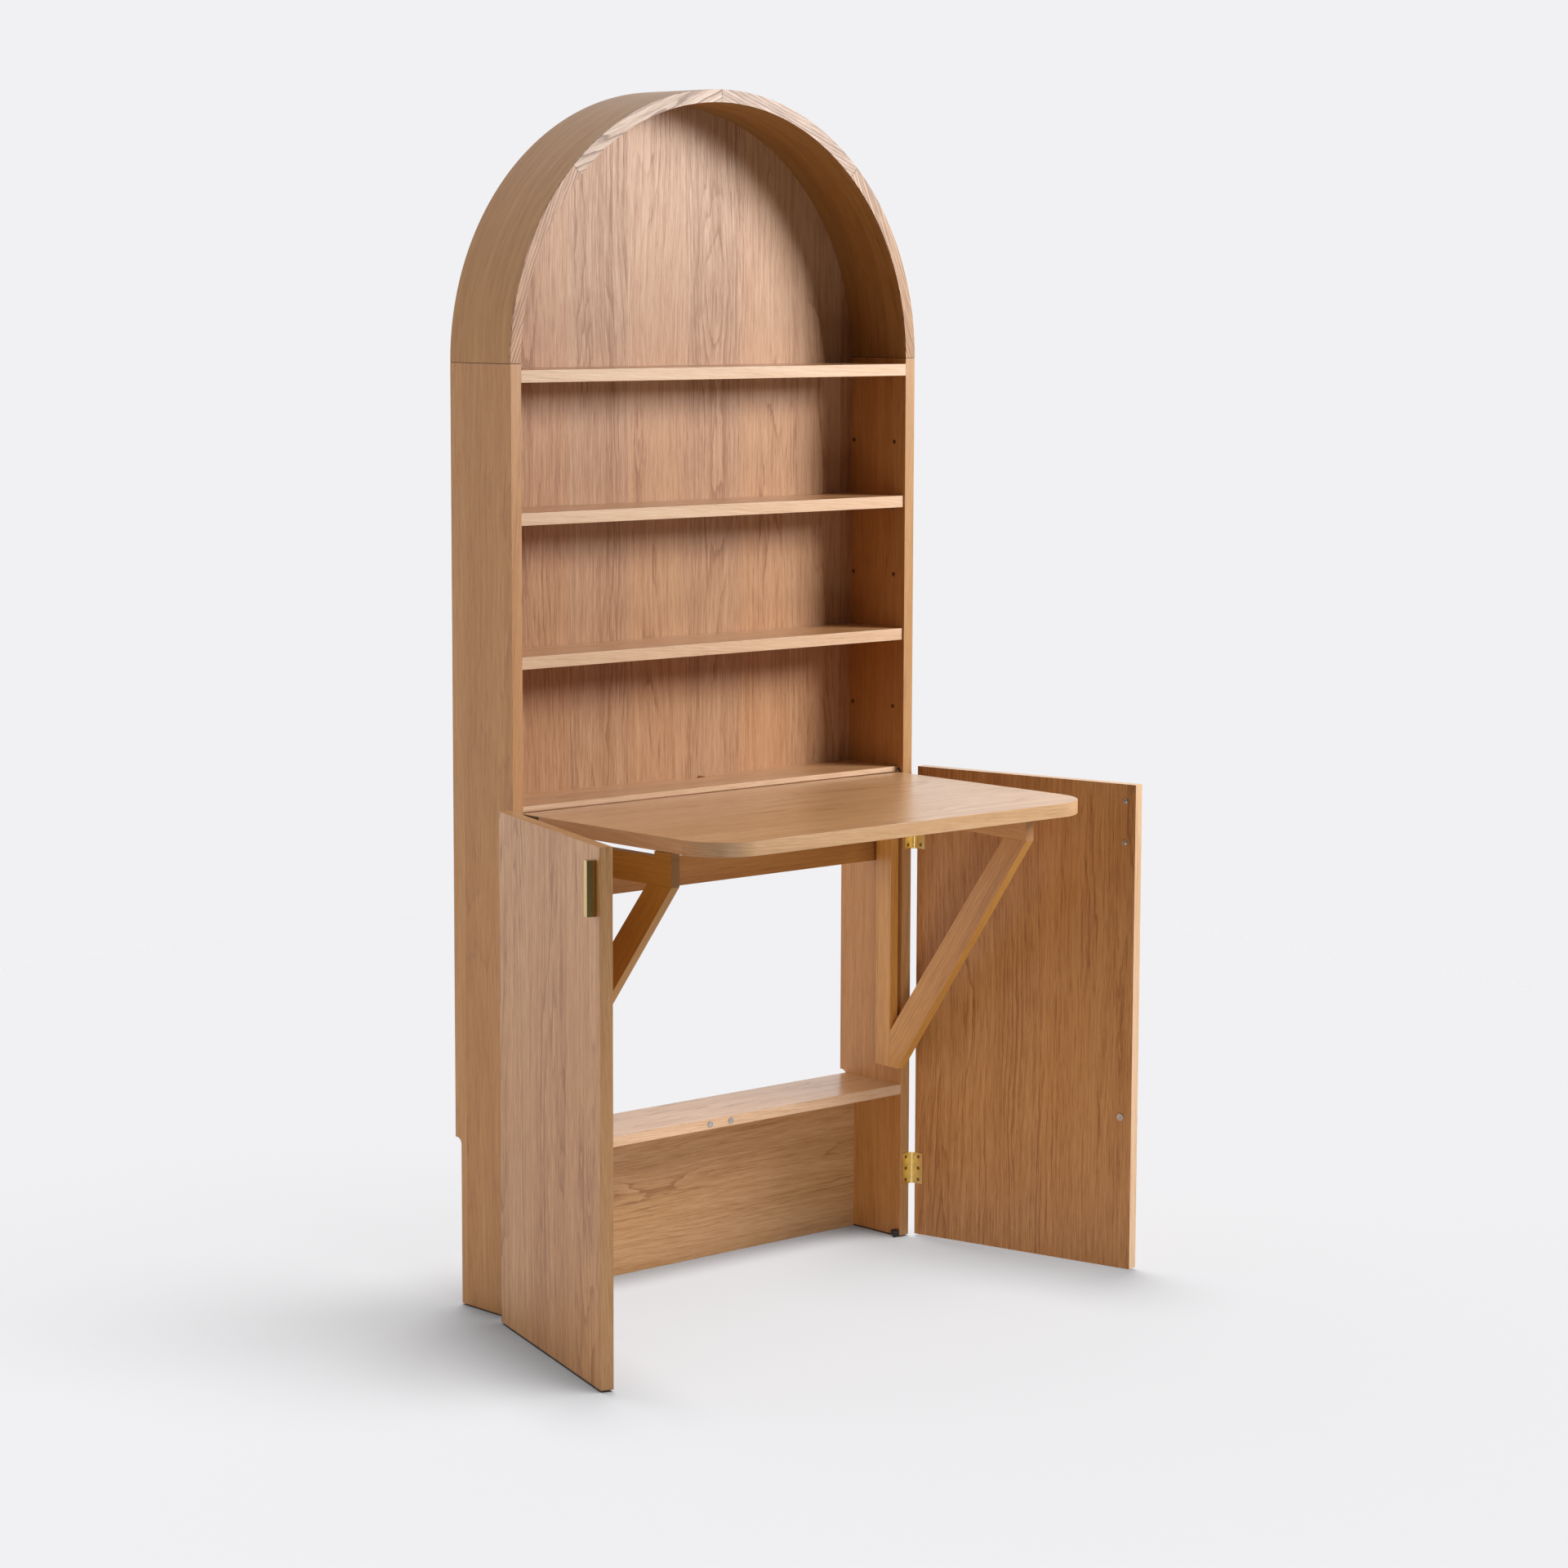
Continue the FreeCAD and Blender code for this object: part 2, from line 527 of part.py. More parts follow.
# The table pivots: a plate with a pin at each end, in a bush let into the side panel.
bushes = []
plates = []
pivot_pins = []
plate_screws = []
for side, sign in SIDES:
    aim = "+x" if sign > 0 else "-x"
    bush_at = (across(sign, INNER), "pivot_back", PIVOT_HIGH)
    sleeve = rod(f"bush_{side}_outside", aim, bush_at, "bush_long", "bush_radius")
    hollow = rod(f"bush_{side}_bore", aim, bush_at, "bush_long", "pivot_radius + running_gap")
    bushes.append(cut(f"bush_{side}", sleeve, [hollow]))
    fixed_tools[side].append(sleeve)
    pin_at = (across(sign, TABLE_HALF), "pivot_back", PIVOT_HIGH)
    pin = rod(f"pivot_pin_{side}", aim, pin_at, PIVOT_LONG, "pivot_radius")
    pivot_pins.append(pin)
    xs = span(sign, TABLE_HALF, f"{TABLE_HALF} + plate_thick")
    strip = box(f"plate_{side}_strip", xs, ("table_rear - plate_long", "table_rear"),
                ("table_top - plate_drop - plate_high", "table_top - plate_drop"))
    neck = box(f"plate_{side}_neck", xs, ("pivot_back - plate_ear", "pivot_back"),
               ("table_top - plate_high / 2", PIVOT_HIGH))
    ear = rod(f"plate_{side}_ear", aim, pin_at, "plate_thick", "plate_ear")
    screws = []
    for k, share in enumerate(("(1 - plate_screw_share)", "plate_screw_share")):
        at = (across(sign, f"{TABLE_HALF} + plate_thick"), f"table_rear - plate_long * {share}",
              "table_top - plate_drop - plate_high / 2")
        screws.append(screw(f"plate_{side}_screw{k}", "-x" if sign > 0 else "+x", at,
                            "plate_screw_long", "plate_screw_head", "plate_screw_shank"))
    plate_screws += screws
    plates.append(cut(f"plate_{side}", fuse(f"plate_{side}_body", [strip, neck, ear]), [pin] + screws))

# Catch magnets in the front edge of the low shelf, strike discs on the doors.
magnets = []
strikes = {}
for side, sign in SIDES:
    z = "low_shelf_top - low_shelf_thick / 2"
    x = across(sign, "catch_across")
    magnets.append(rod(f"magnet_{side}", "+y", (x, "0 - magnet_out", z), "magnet_long", "magnet_radius"))
    disc = rod(f"strike_{side}_disc", "+y", (x, f"0 - {DOOR_GAP}", z), "strike_thick", "strike_radius")
    stem = rod(f"strike_{side}_stem", "-y", (x, f"0 - {DOOR_GAP}", z), "strike_in", "strike_stem")
    strikes[side] = fuse(f"strike_{side}", [disc, stem])

# Two feet show at the front corners; the rear ones are thin glides under the side panels.
feet = []
for side, sign in SIDES:
    block = box(f"foot_block_{side}", span(sign, f"{INNER} - foot_wide", INNER),
                ("foot_front", "foot_front + foot_long"), ("pad_high", "foot_high"))
    pad = rod(f"foot_pad_{side}", "+z",
              (across(sign, f"{INNER} - foot_wide / 2"), "foot_front + foot_long / 2", "0"),
              "foot_high - pad_high / 2", "pad_radius")
    feet.append(fuse(f"foot_{side}", [block, pad]))
    at = (across(sign, f"{INNER} + panel_thick / 2"), f"{NOTCH_PLANE} - glide_in", "0")
    disc = rod(f"glide_disc_{side}", "+z", at, "panel_lift", "glide_radius")
    pin = rod(f"glide_pin_{side}", "+z", at, "glide_pin_long", "glide_pin")
    glide = fuse(f"glide_{side}", [disc, pin])
    feet.append(glide)
    fixed_tools[side].append(glide)

# Side panels, with the skirting cut-out at the rear and the peg holes inside.
for side, sign in SIDES:
    low, high = span(sign, INNER, HALF)
    body = board(f"side_panel_{side}_board", "YZ_Plane", (
        (back("0"), "panel_lift"),
        (back(NOTCH_PLANE), "panel_lift"),
        (back(NOTCH_PLANE), "skirting_high"),
        (back("depth"), "skirting_high"),
        (back("depth"), "seam_height"),
        (back("0"), "seam_height"),
    ), low, high)
    inner_corner = (sheet.back_inset + sheet.kick_thick / 2, sheet.skirting_high)
    round_edges(body, lambda edge: all(
        abs(v.Point.y - inner_corner[0]) < CLOSE and abs(v.Point.z - inner_corner[1]) < CLOSE
        for v in edge.Vertexes), "skirting_round")
    keep(f"side_panel_{side}", cut(f"side_panel_{side}", body, fixed_tools[side]))

# The arch: half a ring on top of the side panels.
outer = doc.addObject("Part::Cylinder", "arch_outside")
inner = doc.addObject("Part::Cylinder", "arch_inside")
for obj, radius in ((outer, HALF), (inner, INNER)):
    obj.Placement = Placement(Vector(0, 0, 0), Rotation(Vector(1, 0, 0), 90))
    obj.Angle = 180
    obj.setExpression("Radius", sized(radius))
    obj.setExpression("Height", sized("depth"))
    place(obj, "0", "depth", "seam_height")
arch_ring = cut("arch_ring", outer, [inner])
keep("arch_shell", cut("arch_shell", arch_ring, seam_dowels))
keep("arch_seam_dowels", group("arch_seam_dowels", seam_dowels))

# The back panel closes the shelf bays and follows the arch.
back_low = box("back_panel_board", (f"0 - {INNER}", INNER), (BACK_FRONT, "depth - back_inset"),
               (LEDGE_LOW, "seam_height"))
back_round = doc.addObject("Part::Cylinder", "back_panel_arch")
back_round.Placement = Placement(Vector(0, 0, 0), Rotation(Vector(1, 0, 0), 90))
back_round.Angle = 180
back_round.setExpression("Radius", sized(INNER))
back_round.setExpression("Height", sized("back_thick"))
place(back_round, "0", "depth - back_inset", "seam_height")
keep("back_panel", fuse("back_panel", [back_low, back_round]))

# Fixed boards between the side panels.
FULL = (f"0 - {INNER}", INNER)
shelf = box("shelf_top_board", FULL, ("0", BACK_FRONT),
            (f"{TOP_SHELF_TOP} - shelf_thick", TOP_SHELF_TOP))
keep("shelf_top_fixed", cut("shelf_top_fixed", shelf, dowels))
for name, k in SHELF_ROWS.items():
    low = f"{LOWEST_PEG} + {k} * {PEG_STEP} + peg_radius"
    keep(name, box(name, (f"shelf_play - {INNER}", f"{INNER} - shelf_play"),
                   ("shelf_recess", f"{BACK_FRONT} - shelf_play"), (low, f"{low} + shelf_thick")))
keep("shelf_pegs", group("shelf_pegs", pegs))

ledge_body = board("ledge_board", "YZ_Plane", (
    (back(LEDGE_FRONT), f"{LEDGE_TOP} - lip_high"),
    (back(f"{LEDGE_FRONT} + rebate_deep"), f"{LEDGE_TOP} - lip_high"),
    (back(f"{LEDGE_FRONT} + rebate_deep"), LEDGE_LOW),
    (back(BACK_FRONT), LEDGE_LOW),
    (back(BACK_FRONT), LEDGE_TOP),
    (back(LEDGE_FRONT), LEDGE_TOP),
), f"0 - {INNER}", INNER)
slot_radius = "(notch_deep / 2)"
slot = box("cable_notch_middle", (f"notch_centre - notch_wide / 2 + {slot_radius}",
                                  f"notch_centre + notch_wide / 2 - {slot_radius}"),
           (f"{BACK_FRONT} - notch_deep", BACK_FRONT), (LEDGE_LOW, LEDGE_TOP))
slot_rear = box("cable_notch_rear", ("notch_centre - notch_wide / 2", "notch_centre + notch_wide / 2"),
                (f"{BACK_FRONT} - {slot_radius}", BACK_FRONT), (LEDGE_LOW, LEDGE_TOP))
slot_ends = [rod(f"cable_notch_end_{side}", "+z",
                 (f"notch_centre + {sign} * (notch_wide / 2 - {slot_radius})",
                  f"{BACK_FRONT} - {slot_radius}", LEDGE_LOW), "ledge_thick", slot_radius)
             for side, sign in SIDES]
ear_rooms = [box(f"ear_room_{side}", span(sign, f"{TABLE_HALF} - ear_gap", INNER),
                 (LEDGE_FRONT, "pivot_back + plate_ear + ear_gap"), (LEDGE_LOW, LEDGE_TOP))
             for side, sign in SIDES]
keep("ledge", cut("ledge", ledge_body, [slot, slot_rear] + slot_ends + ear_rooms + dowels))

rail = box("cross_rail_board", FULL, (RAIL_FRONT, f"{RAIL_FRONT} + rail_thick"),
           (RAIL_LOW, f"{RAIL_LOW} + rail_high"))
keep("cross_rail", cut("cross_rail", rail, dowels))
low_board = box("low_shelf_board", FULL, ("0", NOTCH_PLANE),
                ("low_shelf_top - low_shelf_thick", "low_shelf_top"))
keep("low_shelf", cut("low_shelf", low_board, dowels + magnets))
kick = box("kick_board_board", FULL, (KICK_FRONT, f"{KICK_FRONT} + kick_thick"),
           ("0", "low_shelf_top - low_shelf_thick"))
keep("kick_board", cut("kick_board", kick, dowels))
keep("board_dowels", group("board_dowels", dowels))
keep("catch_magnets", group("catch_magnets", magnets))

keep("levelling_feet", group("levelling_feet", feet))

keep("door_hinge_panel_leaves", group("door_hinge_panel_leaves", panel_leaves))
keep("door_hinge_pins", group("door_hinge_pins", door_pins))
keep("door_hinge_panel_screws",
     group("door_hinge_panel_screws", hinge_screws["left"] + hinge_screws["right"]))
keep("bracket_hinge_panel_leaves", group("bracket_hinge_panel_leaves", small_leaves))
keep("bracket_hinge_pins", group("bracket_hinge_pins", small_pins))
keep("bracket_hinge_panel_screws", group("bracket_hinge_panel_screws", small_screws))
keep("table_pivot_bushes", group("table_pivot_bushes", bushes))

# Doors, built closed and then swung open about their hinge pins.
for side, sign in SIDES:
    swing = (across(sign, PIN_ACROSS), PIN_BACK, sign, f"door_{side}_angle")
    x_low, x_high = span(sign, "door_mid_gap / 2", HALF)
    door = board(f"door_{side}_board", "XZ_Plane", (
        (x_low, "door_low"), (x_high, "door_low"), (x_high, DOOR_TOP), (x_low, DOOR_TOP),
    ), f"0 - {DOOR_GAP} - door_thick", f"0 - {DOOR_GAP}")
    pull_screws = []
    pull_x = across(sign, "door_mid_gap / 2 + pull_edge + pull_wide / 2")
    for k in (-1, 1):
        at = (pull_x, f"0 - {DOOR_GAP}", f"{PULL_MIDDLE} + {k} * (pull_long / 2 - pull_screw_end)")
        head = rod(f"pull_screw_{side}_{k + 1}_head", "+y", at, "pull_screw_high", "pull_screw_head")
        shank = rod(f"pull_screw_{side}_{k + 1}_shank", "-y", at, "door_thick + pull_screw_in",
                    "pull_screw_shank")
        pull_screws.append(fuse(f"pull_screw_{side}_{k + 1}", [head, shank]))
    pull_bar = box(f"pull_bar_{side}", span(sign, "door_mid_gap / 2 + pull_edge",
                                            "door_mid_gap / 2 + pull_edge + pull_wide"),
                   (f"0 - {DOOR_GAP} - door_thick - pull_out", f"0 - {DOOR_GAP} - door_thick"),
                   (f"{PULL_MIDDLE} - pull_long / 2", f"{PULL_MIDDLE} + pull_long / 2"))
    wood = cut(f"door_{side}_cut", door, door_screws[side] + pull_screws + [strikes[side]])
    keep(f"door_{side}", wood, swing)
    keep(f"pull_{side}", cut(f"pull_{side}_cut", pull_bar, pull_screws), swing)
    keep(f"pull_screws_{side}", group(f"pull_screws_{side}_all", pull_screws), swing)
    keep(f"strike_disc_{side}", strikes[side], swing)
    keep(f"door_hinge_leaves_{side}", group(f"door_hinge_leaves_{side}_all", door_leaves[side]), swing)
    keep(f"door_hinge_screws_{side}", group(f"door_hinge_screws_{side}_all", door_screws[side]), swing)

# The folding table.
table = board("table_board", "XY_Plane", (
    (f"0 - {TABLE_HALF}", back("0 - table_front")), (TABLE_HALF, back("0 - table_front")),
    (TABLE_HALF, back("table_rear")), (f"0 - {TABLE_HALF}", back("table_rear")),
), TABLE_LOW, "table_top")
doc.recompute()
front_line = min(v.Point.y for v in table.Shape.Vertexes)
round_edges(table, lambda edge: upright(edge) and all(
    abs(v.Point.y - front_line) < CLOSE for v in edge.Vertexes), "table_round")
keep("table_top_board", cut("table_top_board", table, plate_screws))
keep("table_pivot_plates", group("table_pivot_plates", plates))
keep("table_pivot_pins", group("table_pivot_pins", pivot_pins))
keep("table_plate_screws", group("table_plate_screws", plate_screws))

# Swing brackets, built pointing straight out of the front.
for side, sign in SIDES:
    swing = None
    if side == "right":
        swing = (across(sign, SMALL_PIN_ACROSS), SMALL_PIN_BACK, -1, "bracket_right_angle")
    low, high = span(sign, BRACKET_IN, BRACKET_OUT)
    post = board(f"bracket_{side}_post_board", "YZ_Plane", (
        (back("post_front"), BRACKET_LOW), (back(POST_REAR), BRACKET_LOW),
        (back(POST_REAR), ARM_TOP), (back("post_front"), ARM_TOP),
    ), low, high)
    arm = board(f"bracket_{side}_arm_board", "YZ_Plane", (
        (back("0 - bracket_reach"), ARM_LOW), (back("post_front"), ARM_LOW),
        (back("post_front"), ARM_TOP), (back("0 - bracket_reach"), ARM_TOP),
    ), low, high)
    block = board(f"bracket_{side}_block_board", "YZ_Plane", (
        (back("0 - bracket_reach"), ARM_TOP), (back("block_long - bracket_reach"), ARM_TOP),
        (back("block_long - bracket_reach"), f"{TABLE_LOW} - bracket_gap"),
        (back("0 - bracket_reach"), f"{TABLE_LOW} - bracket_gap"),
    ), low, high)
    brace = board(f"bracket_{side}_brace_board", "YZ_Plane", (
        (back("0 - bracket_reach"), ARM_LOW), (back("post_front - brace_foot"), BRACKET_LOW),
        (back("post_front"), BRACKET_LOW), (back("post_front"), f"{BRACKET_LOW} + brace_rise"),
        (back("brace_wide - bracket_reach"), ARM_LOW),
    ), low, high)
    keep(f"bracket_{side}_post", cut(f"bracket_{side}_post_cut", post, bracket_screws[side]), swing)
    keep(f"bracket_{side}_arm", arm, swing)
    keep(f"bracket_{side}_tip_block", block, swing)
    keep(f"bracket_{side}_brace", brace, swing)
    keep(f"bracket_{side}_hinge_leaves", group(f"bracket_{side}_leaves_all", bracket_leaves[side]), swing)
    keep(f"bracket_{side}_hinge_screws", group(f"bracket_{side}_screws_all", bracket_screws[side]), swing)

doc.recompute()

faulty = [obj.Name for obj in doc.Objects if "Invalid" in obj.State or "Error" in obj.State]
if faulty:
    raise RuntimeError("failed features: " + ", ".join(faulty))
for name, obj in pieces:
    if obj.Shape.isNull() or not obj.Shape.isValid() or not obj.Shape.Solids:
        raise RuntimeError("bad shape: " + name)

os.makedirs("parts", exist_ok=True)
for name, obj in pieces:
    shape = obj.Shape.Solids[0] if len(obj.Shape.Solids) == 1 else obj.Shape
    shape.exportStep(f"parts/{name}.step")
    bounds = shape.BoundBox
    print(f"{name}: {len(obj.Shape.Solids)} solids, x {bounds.XMin:.1f} to {bounds.XMax:.1f}, "
          f"y {bounds.YMin:.1f} to {bounds.YMax:.1f}, z {bounds.ZMin:.1f} to {bounds.ZMax:.1f}")
print(len(pieces), "pieces")
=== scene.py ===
import json
import math

import bmesh
import bpy
from mathutils import Matrix, Vector


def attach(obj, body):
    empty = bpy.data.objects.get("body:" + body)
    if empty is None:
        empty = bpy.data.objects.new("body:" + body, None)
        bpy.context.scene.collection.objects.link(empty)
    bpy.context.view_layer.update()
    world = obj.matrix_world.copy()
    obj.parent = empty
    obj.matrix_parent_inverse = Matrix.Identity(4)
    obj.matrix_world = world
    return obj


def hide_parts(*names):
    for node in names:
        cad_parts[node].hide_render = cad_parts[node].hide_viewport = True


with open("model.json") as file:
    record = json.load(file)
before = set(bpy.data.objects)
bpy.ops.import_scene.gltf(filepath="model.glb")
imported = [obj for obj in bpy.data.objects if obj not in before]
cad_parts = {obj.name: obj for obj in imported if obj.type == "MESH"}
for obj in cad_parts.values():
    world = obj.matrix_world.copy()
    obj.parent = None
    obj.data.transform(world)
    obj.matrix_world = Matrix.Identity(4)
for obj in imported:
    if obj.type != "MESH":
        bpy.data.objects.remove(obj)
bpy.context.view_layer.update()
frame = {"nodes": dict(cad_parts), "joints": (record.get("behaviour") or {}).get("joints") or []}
X, Y, Z = 0, 1, 2
MM = 0.001

# The camera, worked out from the corners of the object in the photograph.
CAMERA_AT = (-3.93349, -4.61733, 1.52367)
CAMERA_YAW = 42.068
CAMERA_PITCH = 7.251
CAMERA_ROLL = -0.197
CAMERA_LENS = 91.373
CAMERA_SENSOR = 36.0
CAMERA_SEES = 500.0

# How far the doors and the right bracket are turned from their home, which is closed for a door
# and straight out for a bracket.
LEFT_DOOR_OPEN = 108.0
RIGHT_DOOR_OPEN = 102.5
RIGHT_BRACKET_IN = 6.0

# Edges and joints of the boards. The slant tells how much the grain of the lipping leans.
SOFT_EDGE = 0.4 * MM
TABLE_EDGE = 0.9 * MM
LIPPING = 3.0 * MM
LIPPING_SLANT = 0.05
SEAM_HALF = 0.4 * MM
SEAM_IN = 0.6 * MM

# How finely round shapes are divided.
HOLE_FACETS = 32
ARCH_FACETS = 96
PANEL_NOTCH_FACETS = 8
CABLE_NOTCH_FACETS = 12
TABLE_CORNER_FACETS = 16

# Points nearer than this are one point, in a copied mesh and after a cut.
SAME_POINT = 0.001 * MM
SAME_AFTER_CUT = 0.01 * MM

# How far a face's normal must lean towards an axis to be one of a board's flat faces or a stick's end.
FLAT_FACE = 0.7
END_FACE = 0.8

# Edges sharper than the first angle are rounded, and faces that meet at less than the second shade
# as one.
SHARP_ANGLE = math.radians(30.0)
SMOOTH_ANGLE = math.radians(40.0)


def joint_at(name):
    """The place of a joint's axis."""
    for joint in frame["joints"]:
        if joint["name"] == name:
            return Vector(joint["pos_m"])
    raise ValueError(name)


def turn_about(at, degrees):
    """A turn about an upright axis."""
    turn = Matrix.Rotation(math.radians(degrees), 4, "Z")
    return Matrix.Translation(at) @ turn @ Matrix.Translation(-at)


HOME = Matrix()
TURNS = {
    "carcass": HOME,
    "table": HOME,
    "bracket_left": HOME,
    "door_left": turn_about(joint_at("door_left_hinge"), -LEFT_DOOR_OPEN),
    "door_right": turn_about(joint_at("door_right_hinge"), RIGHT_DOOR_OPEN),
    "bracket_right": turn_about(joint_at("bracket_right_swing"), -RIGHT_BRACKET_IN),
}


def span_of(points):
    """The low and the high corner of the box round some points."""
    low = Vector(min(p[i] for p in points) for i in range(3))
    high = Vector(max(p[i] for p in points) for i in range(3))
    return low, high


def home_box(node, body="carcass"):
    """The box round a node, with its body turned back to its home."""
    back = TURNS[body].inverted()
    return span_of([back @ vertex.co for vertex in frame["nodes"][node].data.vertices])


# Shader helpers.
class Graph:
    """A small builder for the nodes of a material or a world."""

    def __init__(self, name, kind=bpy.data.materials):
        self.made = kind.new(name)
        self.made.use_nodes = True
        self.tree = self.made.node_tree
        self.shader = self.tree.nodes.get("Principled BSDF")

    def feed(self, socket, value):
        if isinstance(value, bpy.types.NodeSocket):
            self.tree.links.new(value, socket)
        else:
            socket.default_value = value

    def node(self, kind, inputs=(), **settings):
        """A new node; inputs are its first ones in order, or are given by name."""
        made = self.tree.nodes.new(kind)
        for key, value in settings.items():
            setattr(made, key, value)
        for key in inputs if isinstance(inputs, dict) else range(len(inputs)):
            self.feed(made.inputs[key], inputs[key])
        return made

    def math(self, operation, *values):
        return self.node("ShaderNodeMath", values, operation=operation).outputs[0]

    def mean(self, a, b):
        return self.math("MULTIPLY_ADD", a, 0.5, self.math("MULTIPLY", b, 0.5))

    def vector(self, x, y, z):
        return self.node("ShaderNodeCombineXYZ", (x, y, z)).outputs[0]

    def multiply(self, a, b):
        """Two vectors or colours, multiplied part by part."""
        return self.node("ShaderNodeVectorMath", (a, b), operation="MULTIPLY").outputs[0]

    def noise(self, vector, detail=2.0, rough=0.5):
        inputs = {"Vector": vector, "Scale": 1.0, "Detail": detail, "Roughness": rough}
        return self.node("ShaderNodeTexNoise", inputs).outputs["Fac"]

    def fine_noise(self, scales, detail=2.0, rough=0.5):
        """Noise in the object's own space; scales are its waves per metre along each axis."""
        place = self.node("ShaderNodeTexCoord").outputs["Object"]
        return self.noise(self.multiply(place, scales), detail, rough)

    def grain_place(self):
        """The three parts of the attribute "grain"."""
        place = self.node("ShaderNodeAttribute", attribute_name="grain")
        return self.node("ShaderNodeSeparateXYZ", (place.outputs["Vector"],)).outputs

    def remap(self, value, low, high, to_low=0.0, to_high=1.0, smooth=False):
        inputs = (value, low, high, to_low, to_high)
        step = "SMOOTHSTEP" if smooth else "LINEAR"
        return self.node("ShaderNodeMapRange", inputs, interpolation_type=step).outputs[0]

    def ramp(self, value, stops):
        made = self.node("ShaderNodeValToRGB", (value,))
        band = made.color_ramp
        while len(band.elements) < len(stops):
            band.elements.new(0.5)
        for element, (place, colour) in zip(band.elements, stops):
            element.position = place
            element.color = (*colour, 1.0)
        return made.outputs[0]

    def blend(self, noise, light, dark):
        """From light to dark over the middle of a noise."""
        return self.ramp(noise, ((0.3, light), (0.7, dark)))

    def bump(self, height, strength, distance):
        made = self.node("ShaderNodeBump", {"Strength": strength, "Distance": distance, "Height": height})
        self.feed(self.shader.inputs["Normal"], made.outputs[0])

    def surface(self, colour, rough):
        self.feed(self.shader.inputs["Base Color"], colour)
        self.feed(self.shader.inputs["Roughness"], rough)


# Colours are linear. Those that oak() takes are all made darker by one number.
WOOD_LIGHTNESS = 0.76
OAK = ((0.765, 0.366, 0.112), (0.637, 0.271, 0.069), (0.449, 0.166, 0.037))
DOOR_OAK = ((0.75, 0.375, 0.135), (0.625, 0.278, 0.084), (0.44, 0.170, 0.045))
# A paler, pinker tone for the back, partly the veneer's own and partly the key light's sheen painted in.
PINK_SHEEN_OAK = ((0.72, 0.408, 0.215), (0.60, 0.302, 0.142), (0.43, 0.188, 0.074))
EDGE = ((0.74, 0.42, 0.185), (0.62, 0.315, 0.120), (0.44, 0.20, 0.068))
# Paler, whiter tones for the front edges of the shelves and the ledge: painted highlight of the key light.
SHEEN_EDGE_TONES = ((1.02, 0.72, 0.49), (0.90, 0.58, 0.355), (0.67, 0.39, 0.215))
# Pale tones for the right door's edges: painted highlight where the key light catches them.
DOOR_SHEEN_EDGE_TONES = ((0.91, 0.62, 0.39), (0.80, 0.50, 0.28), (0.59, 0.33, 0.165))
# The table's lipping is paler than the other edges, partly its own tone and partly a painted highlight.
TABLE_EDGE_SHEEN_TONES = ((0.82, 0.52, 0.29), (0.71, 0.41, 0.20), (0.52, 0.27, 0.115))
RING_TONES = ((0.68, 0.44, 0.28), (0.52, 0.305, 0.170), (0.28, 0.135, 0.060))
# How the arch's two faces differ from the other veneer, and each segment of its front ring, from the
# right to the left, from the ring's tones. The darker inside is partly a veneer of its own and partly
# painted shade under the arch.
ARCH_OUTSIDE = (0.89, 0.90, 0.80)
ARCH_INSIDE_SHADE = (0.70, 0.74, 0.66)
RING_TINTS = ((0.94, 0.80, 0.58), (0.94, 0.88, 0.86), (1.05, 1.04, 1.04), (1.22, 1.04, 0.87))
BOARD_TONES = ((0.86, 0.51, 0.26), (0.735, 0.40, 0.175), (0.52, 0.255, 0.098))
# Darker tones for the kick board: painted shade under the low shelf.
KICK_SHADE_TONES = ((0.70, 0.395, 0.18), (0.59, 0.305, 0.118), (0.40, 0.185, 0.064))
STICK = ((0.84, 0.417, 0.096), (0.715, 0.314, 0.059), (0.49, 0.190, 0.032))
# The left bracket and the cross rail are darkened as painted shade, and the left panel's lipping is made
# paler as painted light.
LEFT_STICK_SHADE_TINT = (0.69, 0.67, 0.46)
RAIL_SHADE_TINT = (0.80, 0.79, 0.72)
LEFT_EDGE_LIGHT_TINT = (1.12, 1.06, 1.09)
BEECH_TONES = ((0.72, 0.52, 0.34), (0.62, 0.42, 0.26), (0.48, 0.30, 0.18))
END_TONES = ((0.46, 0.225, 0.080), (0.32, 0.140, 0.046))
SEAM_TONES = ((0.08, 0.035, 0.014), (0.048, 0.021, 0.0084))
NO_TINT = (1.0, 1.0, 1.0)

# How far apart in the wood two leaves of one veneer are cut.
LEAF_APART = 37.0

# How fine the small patterns are, in waves per metre.
END_WOBBLE = 60.0
END_RINGS = 320.0
END_SPECKS = 1800.0
SEAM_SPECKS = 300.0
METAL_LINES = 900.0
METAL_CLOUDS = 70.0
PLASTIC_GRAINS = 1500.0


def tinted(tones, tint):
    """The tones of a wood, each multiplied by a tint."""
    return [[part * share for part, share in zip(tone, tint)] for tone in tones]


